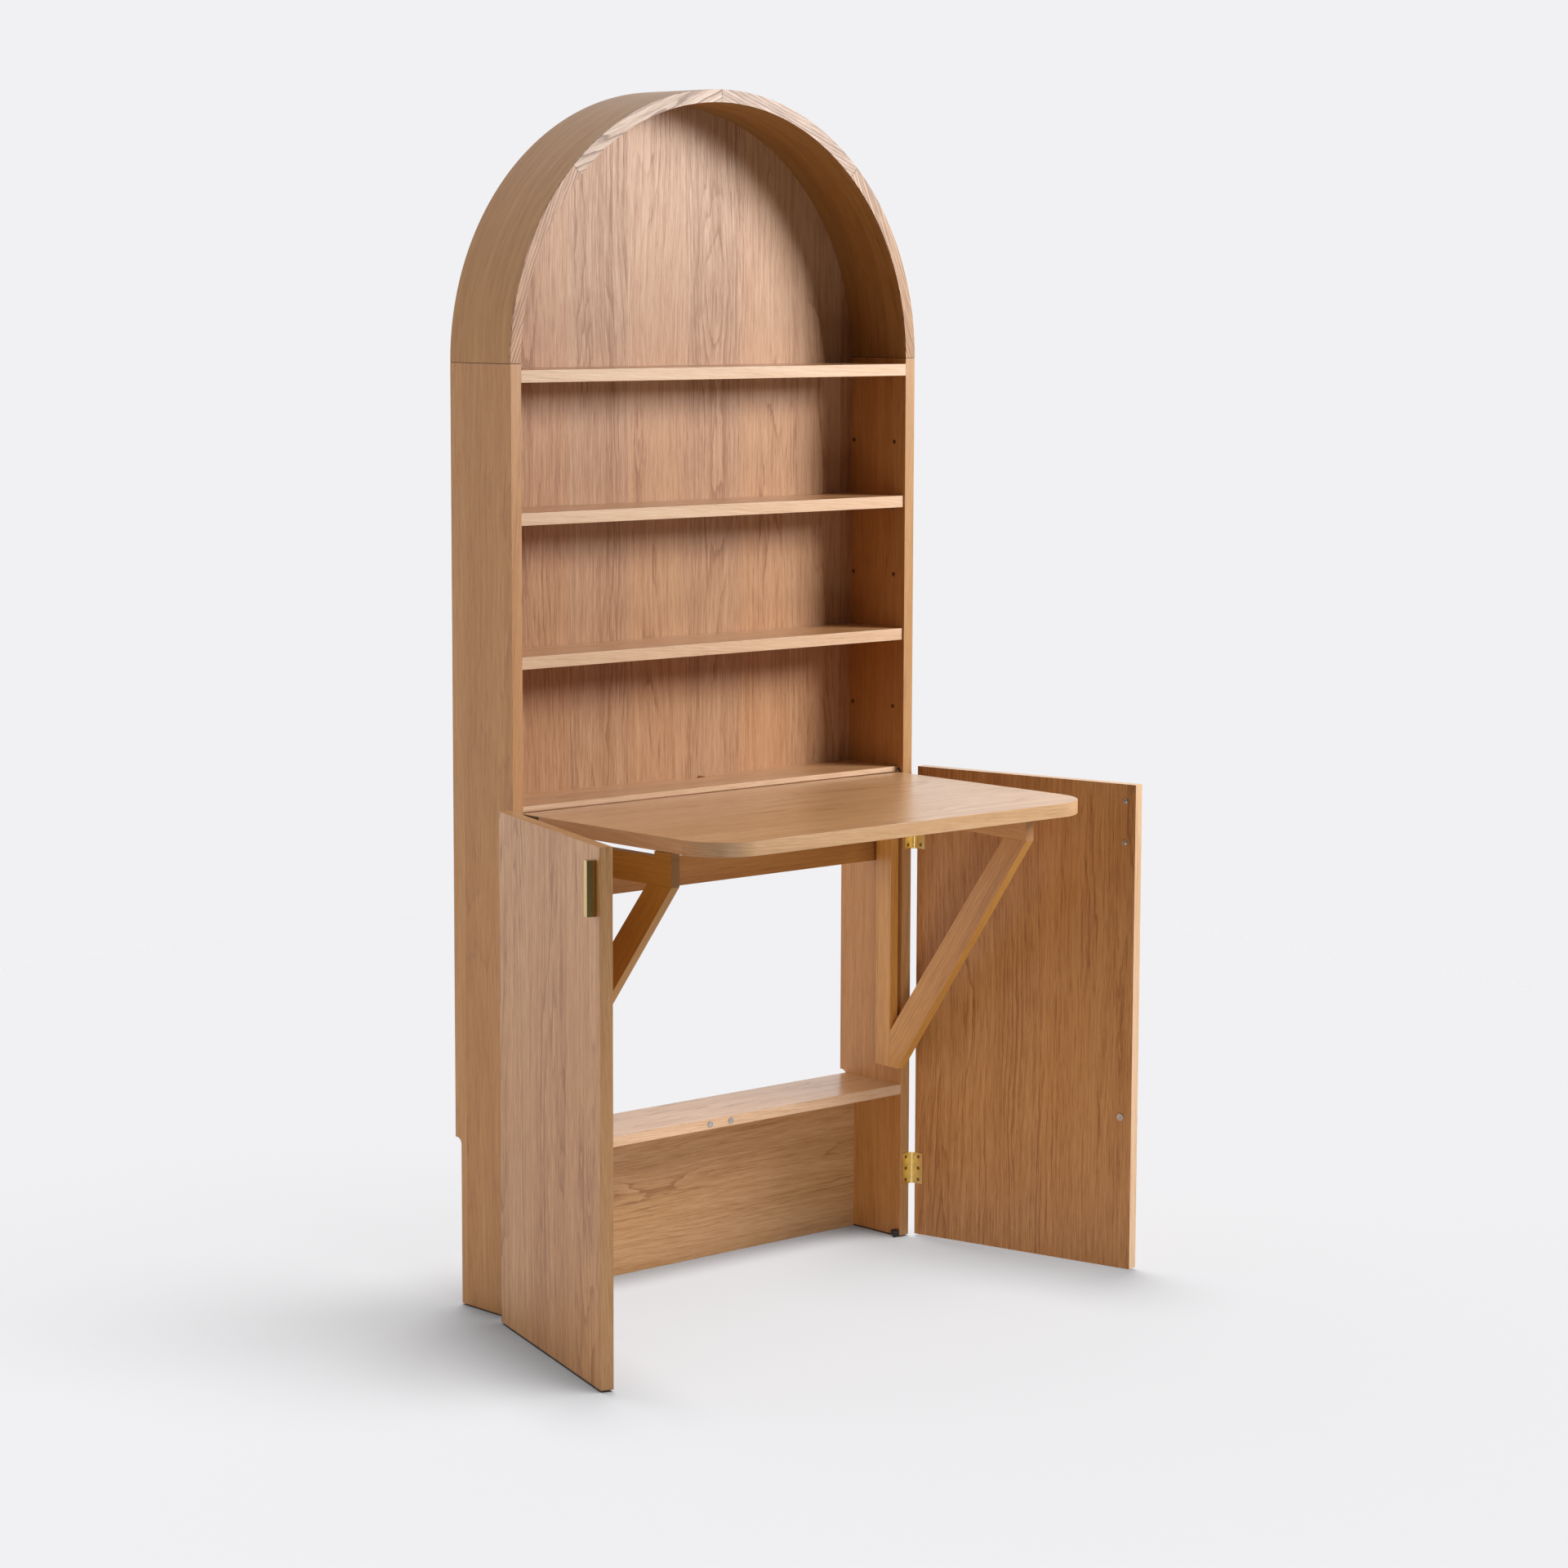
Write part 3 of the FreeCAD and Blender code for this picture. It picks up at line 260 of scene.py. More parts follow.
def oak(name, colours, leaf=0.13, ring=0.0065, depth=0.045, swing=0.035, figure=1.0, lines=1.0, fibre=1.0,
        leaf_tone=1.0, plainest=0.12, rough=0.40):
    """Oak seen along the attribute "grain", whose X runs with the grain, Y across and Z into the wood.

    leaf is the width of one veneer leaf, ring the spacing of the growth rings, depth the distance of
    the heart behind the cut and swing how much that distance wanders along the grain. figure, lines,
    fibre and leaf_tone tell how strongly the rings, the long streaks, the fine fibres and the
    differences between leaves show, and plainest the share of the rings that shows in plain places.
    The patterns inside are given by their length along the grain and their width across it.
    """
    g = Graph(name)
    along, across, inward = g.grain_place()

    spots = {"W": g.math("DIVIDE", across, leaf), "Scale": 1.0, "Randomness": 0.45}
    leaves = g.node("ShaderNodeTexVoronoi", spots, voronoi_dimensions="1D")
    pick, other, third = g.node("ShaderNodeSeparateColor", (leaves.outputs["Color"],)).outputs

    def swayed(base, pattern, weight):
        """A value moved by how far a pattern, which runs from 0 to 1, is from its middle."""
        return g.math("MULTIPLY_ADD", g.math("SUBTRACT", pattern, 0.5), weight, base)

    aside = g.math("SUBTRACT", across, g.math("MULTIPLY", leaves.outputs["W"], leaf))
    aside = swayed(aside, other, leaf * 0.7)

    def stretched(length, width, detail, roughness=0.6):
        return g.noise(g.vector(g.math("DIVIDE", run, length), g.math("DIVIDE", sway, width),
                                g.math("DIVIDE", inward, width)), detail, roughness)

    run = g.math("MULTIPLY_ADD", pick, LEAF_APART, along)
    wander = g.noise(g.vector(g.math("MULTIPLY", run, 1.3), g.math("MULTIPLY", across, 3.0), 0.0))
    sway = swayed(across, wander, 0.05)
    drift = stretched(length=0.14, width=0.022, detail=3.0)
    heart = swayed(g.math("ADD", inward, depth), wander, swing * 2.0)
    distance = g.math("SQRT", g.math("ADD", g.math("MULTIPLY", aside, aside),
                                     g.math("MULTIPLY", heart, heart)))
    distance = swayed(distance, drift, ring * 1.8)
    phase = g.math("FRACT", g.math("DIVIDE", distance, ring))
    early = g.ramp(phase, ((0.0, (0.1,) * 3), (0.07, (1.0,) * 3), (0.25, (0.35,) * 3), (0.7, (0.0,) * 3)))
    calm = stretched(length=0.6, width=0.045, detail=1.0)
    plain = g.remap(calm, 0.46, 0.62, plainest, 1.0, smooth=True)
    early = g.math("MULTIPLY", early, plain)

    pores = g.remap(stretched(length=0.020, width=0.0011, detail=1.0), 0.53, 0.68, smooth=True)
    pores = g.math("MULTIPLY", pores, g.math("MULTIPLY_ADD", early, 0.6, 0.4))
    fibres = stretched(length=0.045, width=0.0019, detail=3.0)
    streaks = stretched(length=0.35, width=0.0060, detail=2.0)
    bands = stretched(length=1.1, width=0.032, detail=2.0)

    shade = swayed(0.40, fibres, 1.10 * fibre)
    shade = swayed(shade, streaks, 0.70 * lines)
    shade = swayed(shade, bands, 0.60)
    shade = g.math("MULTIPLY_ADD", early, 0.30 * figure, shade)
    shade = g.math("MULTIPLY_ADD", pores, 0.30 * fibre, shade)
    shade = swayed(shade, third, 0.28 * leaf_tone)
    light, mid, dark = (tuple(WOOD_LIGHTNESS * c for c in colour) for colour in colours)
    colour = g.ramp(shade, ((0.10, light), (0.50, mid), (0.95, dark)))
    tint = g.vector(1.0, swayed(1.0, pick, 0.10 * leaf_tone), swayed(1.0, pick, 0.26 * leaf_tone))
    g.surface(g.multiply(colour, tint), g.math("MULTIPLY_ADD", shade, 0.10, rough - 0.04))
    g.shader.inputs["IOR"].default_value = 1.5
    g.bump(g.math("MULTIPLY_ADD", pores, -1.0, g.math("MULTIPLY", early, -0.3)),
           strength=0.25, distance=0.10 * MM)
    return g.made


def end_grain(name, tint=NO_TINT):
    """The ends of sticks: growth rings and open pores."""
    g = Graph(name)
    first, second, third = g.grain_place()

    def spread(scale, detail):
        return g.noise(g.vector(g.math("MULTIPLY", first, scale), g.math("MULTIPLY", second, scale), third),
                       detail)

    wobble = spread(END_WOBBLE, detail=2.0)
    rings = g.math("FRACT", g.math("MULTIPLY_ADD", second, END_RINGS, g.math("MULTIPLY", wobble, 1.8)))
    specks = spread(END_SPECKS, detail=1.0)
    value = g.mean(g.remap(specks, 0.5, 0.7), rings)
    light, dark = tinted(END_TONES, tint)
    g.surface(g.ramp(value, ((0.0, light), (1.0, dark))), 0.55)
    g.bump(g.math("MULTIPLY", specks, -1.0), strength=0.3, distance=0.1 * MM)
    return g.made


def seam_line(name):
    """Dark glue and shadow in a closed joint."""
    g = Graph(name)
    g.surface(g.blend(g.fine_noise((SEAM_SPECKS,) * 3), *SEAM_TONES), 0.8)
    return g.made


def metal(name, light, dark, rough, grit=0.12, brushed=(1.0, 1.0, 1.0)):
    """Metal with fine brushing, stretched by the three numbers of brushed, and faint cloudy wear."""
    g = Graph(name)
    lines = g.fine_noise(tuple(METAL_LINES * b for b in brushed), detail=3.0, rough=0.6)
    clouds = g.fine_noise((METAL_CLOUDS,) * 3)
    value = g.mean(lines, clouds)
    g.surface(g.blend(value, light, dark), g.math("MULTIPLY_ADD", value, grit * 2.0, rough - grit))
    g.shader.inputs["Metallic"].default_value = 1.0
    g.bump(lines, strength=0.12, distance=0.02 * MM)
    return g.made


def plastic(name, light, dark):
    """Moulded plastic with a fine grain."""
    g = Graph(name)
    grains = g.fine_noise((PLASTIC_GRAINS,) * 3)
    g.surface(g.blend(grains, light, dark), g.math("MULTIPLY_ADD", grains, 0.2, 0.42))
    g.bump(grains, strength=0.2, distance=0.05 * MM)
    return g.made


def calm_veneer(name, tint=NO_TINT, rough=0.40):
    """Wide plain leaves of the common tones."""
    return oak(name, tinted(OAK, tint), leaf=0.22, depth=0.09, swing=0.03, figure=0.5, lines=0.7,
               leaf_tone=0.5, rough=rough)


def solid_oak(name, tones, ring=0.004, depth=0.12, figure=0.7):
    """Plain straight wood in one width, for sticks and for the edges of the boards."""
    return oak(name, tones, leaf=0.9, ring=ring, depth=depth, figure=figure, leaf_tone=0.0)


VENEER = calm_veneer("oak_veneer")
# The arch's inside veneer is darker, partly as painted shade under the arch.
ARCH_VENEERS = [calm_veneer("oak_veneer_arch", ARCH_OUTSIDE, rough=0.46),
                calm_veneer("oak_veneer_arch_inside_shade", ARCH_INSIDE_SHADE, rough=0.46)]
# The cross rail's veneer is darkened: painted shade below the table.
RAIL_SHADED_VENEER = calm_veneer("oak_veneer_rail_shaded", RAIL_SHADE_TINT)
BACK_VENEER = oak("oak_veneer_back", PINK_SHEEN_OAK, leaf=0.115, depth=0.035, swing=0.05, figure=1.9,
                  lines=1.4, fibre=1.5, leaf_tone=1.1, rough=0.46)
DOOR_VENEER = oak("oak_veneer_door", DOOR_OAK, leaf=0.17, ring=0.0075, depth=0.05, swing=0.06, figure=2.1,
                  lines=1.6, fibre=1.6, leaf_tone=0.8)
BOARD_VENEER = oak("oak_veneer_boards", BOARD_TONES, leaf=0.12, depth=0.06, swing=0.05, figure=1.2,
                   leaf_tone=0.5, rough=0.30)
# The kick board's veneer is darkened as painted shade.
KICK_SHADED_VENEER = oak("oak_veneer_kick_shaded", KICK_SHADE_TONES, leaf=0.3, ring=0.007, depth=0.05, swing=0.06, figure=2.2,
                  lines=1.4, fibre=1.4, leaf_tone=0.5)
LIPPING_OAK = solid_oak("oak_lipping", EDGE)
# The left panel's paler lipping paints the light on its front edge.
LEFT_LIT_LIPPING = solid_oak("oak_lipping_left_lit", tinted(EDGE, LEFT_EDGE_LIGHT_TINT))
# Lipping of the shelves and the ledge, made pale as a painted highlight.
SHEEN_LIPPING = solid_oak("oak_lipping_sheen", SHEEN_EDGE_TONES)
TABLE_LIPPING = solid_oak("oak_lipping_table", TABLE_EDGE_SHEEN_TONES)
DOOR_SHEEN_LIPPING = solid_oak("oak_lipping_door_sheen", DOOR_SHEEN_EDGE_TONES)
RING_OAKS = [oak(f"oak_ring_{number}", tinted(RING_TONES, tint), leaf=0.9, ring=0.0052, depth=0.05,
                 figure=2.8, lines=1.6, fibre=1.4, leaf_tone=0.2, plainest=0.75)
             for number, tint in enumerate(RING_TINTS, start=1)]
# The left bracket's sticks and end grain are darkened by a tint that paints the shade under the table on
# them.
STICK_OAKS = {
    side: (solid_oak(f"oak_solid_{side}", tinted(STICK, tint), ring=0.0045, depth=0.08, figure=0.8),
           end_grain(f"oak_end_grain_{side}", tint))
    for side, tint in (("left", LEFT_STICK_SHADE_TINT), ("right", NO_TINT))
}
SEAM = seam_line("oak_seam")
BEECH = oak("beech_dowel", BEECH_TONES, figure=0.2)
BRASS = metal("brass_satin", (0.92, 0.72, 0.32), (0.80, 0.60, 0.22), rough=0.30, grit=0.08)
SCREW_BRASS = metal("brass_screws", (0.40, 0.27, 0.10), (0.30, 0.19, 0.07), rough=0.30, grit=0.08)
PULL_BRASS = metal("brass_brushed", (0.48, 0.35, 0.14), (0.40, 0.28, 0.09), rough=0.20, grit=0.04,
                   brushed=(1.0, 1.0, 0.05))
# Bronzed steel for the pivot plates; on the peg hole rims its darkness is painted shade in the holes.
DARK_STEEL = metal("steel_bronzed_and_shade", (0.14, 0.095, 0.055), (0.09, 0.06, 0.035), rough=0.45)
STEEL = metal("steel_plated", (0.62, 0.61, 0.59), (0.48, 0.47, 0.46), rough=0.32)
BLACK = plastic("black_plastic", (0.020, 0.020, 0.021), (0.032, 0.031, 0.030))


# Mesh helpers.
def ring_points(centre, radius, start, end, count):
    """Points of an arc in a plane, from one angle to another in degrees."""
    angles = [math.radians(start + (end - start) * i / count) for i in range(count + 1)]
    return [(centre[0] + radius * math.cos(a), centre[1] + radius * math.sin(a)) for a in angles]


def circle(centre, radius):
    """The points of a whole circle."""
    last = HOLE_FACETS - 1
    return ring_points(centre, radius, 0.0, 360.0 * last / HOLE_FACETS, last)


def to_space(axis, flat, high):
    """A point of a plane, given across its axis in X, Y, Z order, at a place along the axis."""
    point = list(flat)
    point.insert(axis, high)
    return Vector(point)


def prism(outline, axis, low, high):
    """A closed solid: the outline swept along an axis."""
    bm = bmesh.new()
    rows = [[bm.verts.new(to_space(axis, p, level)) for p in outline] for level in (low, high)]
    count = len(outline)
    for i in range(count):
        bm.faces.new((rows[0][i], rows[0][(i + 1) % count], rows[1][(i + 1) % count], rows[1][i]))
    bm.faces.new(rows[0][::-1])
    bm.faces.new(rows[1])
    bmesh.ops.recalc_face_normals(bm, faces=bm.faces)
    return bm


def box_outline(low, high, axis):
    """The outline of a box seen along an axis."""
    a, b = [i for i in range(3) if i != axis]
    return [(low[a], low[b]), (high[a], low[b]), (high[a], high[b]), (low[a], high[b])]


def soften(bm, width):
    """Rounds every sharp edge."""
    edges = [e for e in bm.edges if len(e.link_faces) == 2 and e.calc_face_angle(0.0) > SHARP_ANGLE]
    bmesh.ops.bevel(bm, geom=edges, offset=width, segments=2, profile=0.5, affect="EDGES",
                    clamp_overlap=True)


def add_object(name, data):
    """A new object in the scene."""
    made = bpy.data.objects.new(name, data)
    bpy.context.scene.collection.objects.link(made)
    return made


def mesh_object(name, bm):
    """An object that holds a mesh, which is used up."""
    mesh = bpy.data.meshes.new(name)
    bm.to_mesh(mesh)
    bm.free()
    return add_object(name, mesh)


def carve(bm, tools):
    """Cuts the tools, which are closed meshes, out of a mesh and returns the result."""
    base = mesh_object("carving", bm)
    cutters = [mesh_object("cutter", tool) for tool in tools]
    for cutter in cutters:
        modifier = base.modifiers.new("carve", "BOOLEAN")
        modifier.operation = "DIFFERENCE"
        modifier.solver = "EXACT"
        modifier.object = cutter
    bpy.context.view_layer.update()
    depsgraph = bpy.context.evaluated_depsgraph_get()
    result = bmesh.new()
    result.from_mesh(bpy.data.meshes.new_from_object(base.evaluated_get(depsgraph)))
    for obj in [base] + cutters:
        bpy.data.objects.remove(obj)
    bmesh.ops.remove_doubles(result, verts=result.verts, dist=SAME_AFTER_CUT)
    return result


def lathe(profile):
    """A closed turned solid about Z: profile points are radius and height, from axis to axis."""
    bm = bmesh.new()
    rows = []
    for radius, height in profile:
        around = circle((0.0, 0.0), radius) if radius else [(0.0, 0.0)]
        rows.append([bm.verts.new((x, y, height)) for x, y in around])
    for low, high in zip(rows, rows[1:]):
        for i in range(HOLE_FACETS):
            j = (i + 1) % HOLE_FACETS
            corners = [low[i % len(low)], low[j % len(low)], high[j % len(high)], high[i % len(high)]]
            face = list(dict.fromkeys(corners))
            if len(face) > 2:
                bm.faces.new(face)
    bmesh.ops.recalc_face_normals(bm, faces=bm.faces)
    return bm


def aim(axis, sign):
    """Turns Z towards an axis."""
    direction = Vector((0, 0, 0))
    direction[axis] = sign
    return Vector((0, 0, 1)).rotation_difference(direction).to_matrix().to_4x4()


def merged(copies):
    """One mesh from (mesh, matrix) pairs, whose meshes are used up."""
    whole = bmesh.new()
    for bm, matrix in copies:
        mesh = bpy.data.meshes.new("copy")
        bm.to_mesh(mesh)
        bm.free()
        mesh.transform(matrix)
        whole.from_mesh(mesh)
        bpy.data.meshes.remove(mesh)
    return whole


def islands(node, body):
    """The boxes of a node's separate solids, at home."""
    bm = bmesh.new()
    bm.from_mesh(frame["nodes"][node].data)
    bmesh.ops.remove_doubles(bm, verts=bm.verts, dist=SAME_POINT)
    back = TURNS[body].inverted()
    found = []
    seen = set()
    for first in bm.verts:
        if first in seen:
            continue
        group = []
        waiting = [first]
        seen.add(first)
        while waiting:
            vertex = waiting.pop()
            group.append(back @ vertex.co)
            for edge in vertex.link_edges:
                other = edge.other_vert(vertex)
                if other not in seen:
                    seen.add(other)
                    waiting.append(other)
        found.append(span_of(group))
    bm.free()
    return found


class Rim:
    """Measures places along an outline: how far round it they are."""

    # Gaps that differ by less than the first count as equal, and no squared length is below the second.
    TIE = 1e-7
    NO_LENGTH = 1e-12

    def __init__(self, outline):
        self.points = [Vector(p) for p in outline]
        self.points.append(self.points[0])
        self.lengths = [(b - a).length for a, b in zip(self.points, self.points[1:])]
        self.total = sum(self.lengths)

    def round(self, flat, near=None):
        """How far round the nearest point is; near keeps it on the same turn as another place."""
        flat = Vector(flat)
        best = None
        done = 0.0
        for a, b, length in zip(self.points, self.points[1:], self.lengths):
            share = max(0.0, min(1.0, (flat - a).dot(b - a) / max(length * length, self.NO_LENGTH)))
            gap = (a.lerp(b, share) - flat).length
            if best is None or gap < best[0] - self.TIE:
                best = (gap, done + share * length)
            done += length
        place = best[1]
        if near is not None:
            place += self.total * round((near - place) / self.total)
        return place


def board_grain(outline, axis, along, shift):
    """Grain for a flat board: the faces run along one axis, the edges run round the outline."""
    rim = Rim(outline)
    cross = 3 - axis - along
    flat_axes = [i for i in range(3) if i != axis]

    def grain(face):
        normal = face.normal
        if abs(normal[axis]) > FLAT_FACE:
            return 0, lambda p: Vector((p[along], p[cross], p[axis])) + shift
        centre = face.calc_center_median()
        near = rim.round([centre[i] for i in flat_axes])

        def on_edge(p):
            along_rim = rim.round([p[i] for i in flat_axes], near)
            return Vector((along_rim, p[axis] + LIPPING_SLANT * along_rim, 0.0)) + shift

        return 1, on_edge

    return grain


def straight_grain(direction, cross, shift):
    """Grain for a solid stick: all faces run one way, and its ends show end grain."""
    direction = Vector(direction).normalized()
    cross = Vector(cross).normalized()
    third = direction.cross(cross)

    def grain(face):
        if abs(face.normal.dot(direction)) > END_FACE:
            return 1, lambda p: Vector((p.dot(cross), p.dot(third), 0.0)) + shift
        if abs(face.normal.dot(third)) > FLAT_FACE:
            return 0, lambda p: Vector((p.dot(direction), p.dot(cross), p.dot(third))) + shift
        return 0, lambda p: Vector((p.dot(direction), p.dot(third), p.dot(cross))) + shift

    return grain


def smooth_normals(bm):
    """Normals at the corners: large faces stay flat, and the small ones round off to them."""
    limit = math.cos(SMOOTH_ANGLE)
    area = {face: face.calc_area() for face in bm.faces}
    found = []
    for face in bm.faces:
        for corner in face.loops:
            total = Vector()
            for other in corner.vert.link_faces:
                if other.normal.dot(face.normal) > limit:
                    total += other.normal * area[other]
            found.append(total.normalized() if total.length else face.normal.copy())
    return found


def piece(name, bm, body, materials, grain=None, replaces=()):
    """Makes the finished object, turned from its home to where its body rests."""
    mesh = bpy.data.meshes.new(name)
    values = []
    bm.normal_update()
    if grain:
        for face in bm.faces:
            face.material_index, at = grain(face)
            values.append([at(corner.vert.co) for corner in face.loops])
    for face in bm.faces:
        face.smooth = True
    for edge in bm.edges:
        edge.smooth = len(edge.link_faces) != 2 or edge.calc_face_angle(0.0) <= SMOOTH_ANGLE
    normals = smooth_normals(bm)
    bm.to_mesh(mesh)
    bm.free()
    if grain:
        stored = mesh.attributes.new("grain", "FLOAT_VECTOR", "CORNER")
        flat = [number for face in values for corner in face for number in corner]
        stored.data.foreach_set("vector", flat)
    mesh.transform(TURNS[body])
    turn = TURNS[body].to_3x3()
    mesh.normals_split_custom_set([turn @ normal for normal in normals])
    for material in materials:
        mesh.materials.append(material)
    made = add_object(name, mesh)
    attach(made, body)
    if replaces:
        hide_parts(*replaces)


SHIFT_STEP = Vector((3.17, 1.93, 0.0))
shifts_used = 0


def next_shift():
    """Another part of the wood for each board."""
    global shifts_used
    shifts_used += 1
    return SHIFT_STEP * shifts_used


def board(name, body, axis, along, outline=None, veneer=VENEER, edge=SOFT_EDGE, tools=(),
          lipping=LIPPING_OAK):
    """A veneered board with solid lipping, which stands for the CAD node of the same name."""
    low, high = home_box(name, body)
    outline = outline or box_outline(low, high, axis)
    bm = prism(outline, axis, low[axis], high[axis])
    soften(bm, edge)
    if tools:
        bm = carve(bm, tools)
    grain = board_grain(outline, axis, along, next_shift())
    piece(name + "_oak", bm, body, (veneer, lipping), grain, (name,))


# Side panels, with a notch for a skirting board and blind holes in their inside faces.
NOTCH_TOP = 253 * MM
NOTCH_ROUND = 10 * MM
PEG_HOLE_DEEP = 10 * MM
BUSH_HOLE_DEEP = 12 * MM
DRILL_OVER = 2 * MM


def side_panels():
    """The side panels, and the rims of the peg holes that stay free."""
    pegs = islands("shelf_pegs", "carcass")
    radius = (pegs[0][1][Y] - pegs[0][0][Y]) / 2
    rows = sorted({round((low[Z] + high[Z]) / 2, 5) for low, high in pegs})
    depths = sorted({round((low[Y] + high[Y]) / 2, 5) for low, high in pegs})
    step = (rows[1] - rows[0]) / 2
    levels = [rows[0] - step, rows[0], rows[0] + step, rows[1], rows[1] + step]
    bushes = islands("table_pivot_bushes", "carcass")
    notch_back = home_box("low_shelf")[1][Y]
    for side, sign in (("left", -1), ("right", 1)):
        low, high = home_box(f"side_panel_{side}")
        top = high[Z] - SEAM_HALF
        outline = [(low[Y], low[Z]), (notch_back, low[Z])]
        outline += ring_points((notch_back + NOTCH_ROUND, NOTCH_TOP - NOTCH_ROUND), NOTCH_ROUND, 180, 90,
                               PANEL_NOTCH_FACETS)
        outline += [(high[Y], NOTCH_TOP), (high[Y], top), (low[Y], top)]
        inside = low[X] if sign > 0 else high[X]
        tools = [drill(inside, sign, (y, z), PEG_HOLE_DEEP, radius) for y in depths for z in levels]
        for bush_low, bush_high in bushes:
            if (bush_low[X] > 0) == (sign > 0):
                centre = ((bush_low[Y] + bush_high[Y]) / 2, (bush_low[Z] + bush_high[Z]) / 2)
                tools.append(drill(inside, sign, centre, BUSH_HOLE_DEEP, (bush_high[Y] - bush_low[Y]) / 2))
        # The left panel's front edge is paler: painted light.
        lipping = LEFT_LIT_LIPPING if side == "left" else LIPPING_OAK
        board(f"side_panel_{side}", "carcass", X, Z, outline, tools=tools, lipping=lipping)
    free = [level for level in levels if level not in rows]
    peg_hole_rims(home_box("side_panel_right")[0][X], depths, free, radius)


def drill(inside, sign, centre, deep, radius):
    """A tool for a blind hole into the inside of a side panel."""
    low, high = sorted((inside - DRILL_OVER * sign, inside + deep * sign))
    return prism(circle(centre, radius), X, low, high)


def peg_hole_rims(inside, depths, levels, radius):
    """Thin dark steel rims round the holes that hold no peg; their dark finish paints the shade inside the
    holes.
    """
    proud, sunk, flange = 0.15 * MM, 1 * MM, 0.9 * MM
    outside = radius + flange
    profile = [(radius, proud), (outside - proud, proud), (outside, 0.0), (outside, -sunk),
               (radius, -sunk), (radius, proud)]
    rims = merged([(lathe(profile), Matrix.Translation((sign * inside, y, z)) @ aim(X, -sign))
                   for sign in (-1, 1) for y in depths for z in levels])
    bmesh.ops.remove_doubles(rims, verts=rims.verts, dist=SAME_POINT)
    bmesh.ops.recalc_face_normals(rims, faces=rims.faces)
    piece("peg_hole_rims", rims, "carcass", (DARK_STEEL,))


# The arch: a bent shell with a front ring of four sawn segments, which are cut from three planks.
# Its joints are angles in degrees.
RING_JOINTS = (0.0, 46.5, 90.0, 135.0, 180.0)
RING_JOINT_HALF = 0.2 * MM
RING_EDGE = 0.6 * SOFT_EDGE
RING_PLANKS = 3


def arch():
    """The shell, the ring's segments with the glue between them, and the seams below."""
    low, high = home_box("arch_shell")
    panel_low, panel_high = home_box("side_panel_right")
    outer = high[X]
    inner = outer - (panel_high[X] - panel_low[X])
    spring = low[Z]
    front = low[Y]

    def shell_grain(shift):
        """Grain that runs round the shell; its inside has a darker veneer of its own, which is partly
        painted shade.
        """
        def grain(face):
            middle = face.calc_center_median()
            radius = Vector((middle[X], middle[Z] - spring)).length
            at_seam = abs(face.normal[Z]) > FLAT_FACE and middle[Z] < spring + MM
            if abs(face.normal[Y]) > FLAT_FACE or at_seam:
                veneer, deep = 1, 0.0
            else:
                veneer, deep = (2 if radius < (outer + inner) / 2 else 0), radius
            return veneer, lambda p: Vector((math.atan2(p[Z] - spring, p[X]) * outer, p[Y], deep)) + shift
        return grain

    def band(start, end, near, far, soft=0.0):
        """A stretch of the arch, which stops just above the seam at each end."""
        count = max(1, round(ARCH_FACETS * (end - start) / 180))
        points = ring_points((0.0, spring), outer, start, end, count)
        points += ring_points((0.0, spring), inner, end, start, count)
        points = [(x, max(z, spring + SEAM_HALF)) for x, z in points]
        bm = prism(points, Y, near, far)
        if soft:
            soften(bm, soft)
        return bm

    piece("arch_shell_oak", band(0, 180, front + LIPPING, high[Y], SOFT_EDGE), "carcass",
          (ARCH_VENEERS[0], LIPPING_OAK, ARCH_VENEERS[1]), shell_grain(next_shift()), ("arch_shell",))
    trim = math.degrees(RING_JOINT_HALF / outer)
    planks = [next_shift() for plank in range(RING_PLANKS)]
    for number, (start, end) in enumerate(zip(RING_JOINTS, RING_JOINTS[1:]), start=1):
        middle = math.radians((start + end) / 2)
        chord = Vector((-math.sin(middle), 0.0, math.cos(middle)))
        outward = Vector((math.cos(middle), 0.0, math.sin(middle)))
        segment = band(start + trim, end - trim, front, front + LIPPING, RING_EDGE)
        piece(f"arch_ring_{number}", segment, "carcass", (RING_OAKS[number - 1],) * 2,
              straight_grain(chord, outward, planks[number % RING_PLANKS]))
    for number, angle in enumerate(RING_JOINTS[1:-1], start=1):
        glue = band(angle - trim, angle + trim, front + RING_JOINT_HALF, front + LIPPING)
        piece(f"arch_ring_joint_{number}", glue, "carcass", (SEAM,))
    seams(spring)


def seams(spring):
    """The dark joint between the arch and each side panel, a little behind the faces."""
    for side in ("left", "right"):
        low, high = home_box(f"side_panel_{side}")
        inset = Vector((SEAM_IN,) * 3)
        outline = box_outline(low + inset, high - inset, Z)
        glue = prism(outline, Z, spring - SEAM_HALF, spring + SEAM_HALF)
        piece(f"arch_seam_{side}", glue, "carcass", (SEAM,))


def back_panel():
    """The back of the shelf bays, which follows the arch."""
    low, high = home_box("back_panel")
    spring = home_box("arch_shell")[0][Z]
    outline = [(low[X], low[Z]), (high[X], low[Z])]
    outline += ring_points((0.0, spring), high[X], 0, 180, ARCH_FACETS)
    board("back_panel", "carcass", Y, Z, outline, BACK_VENEER)


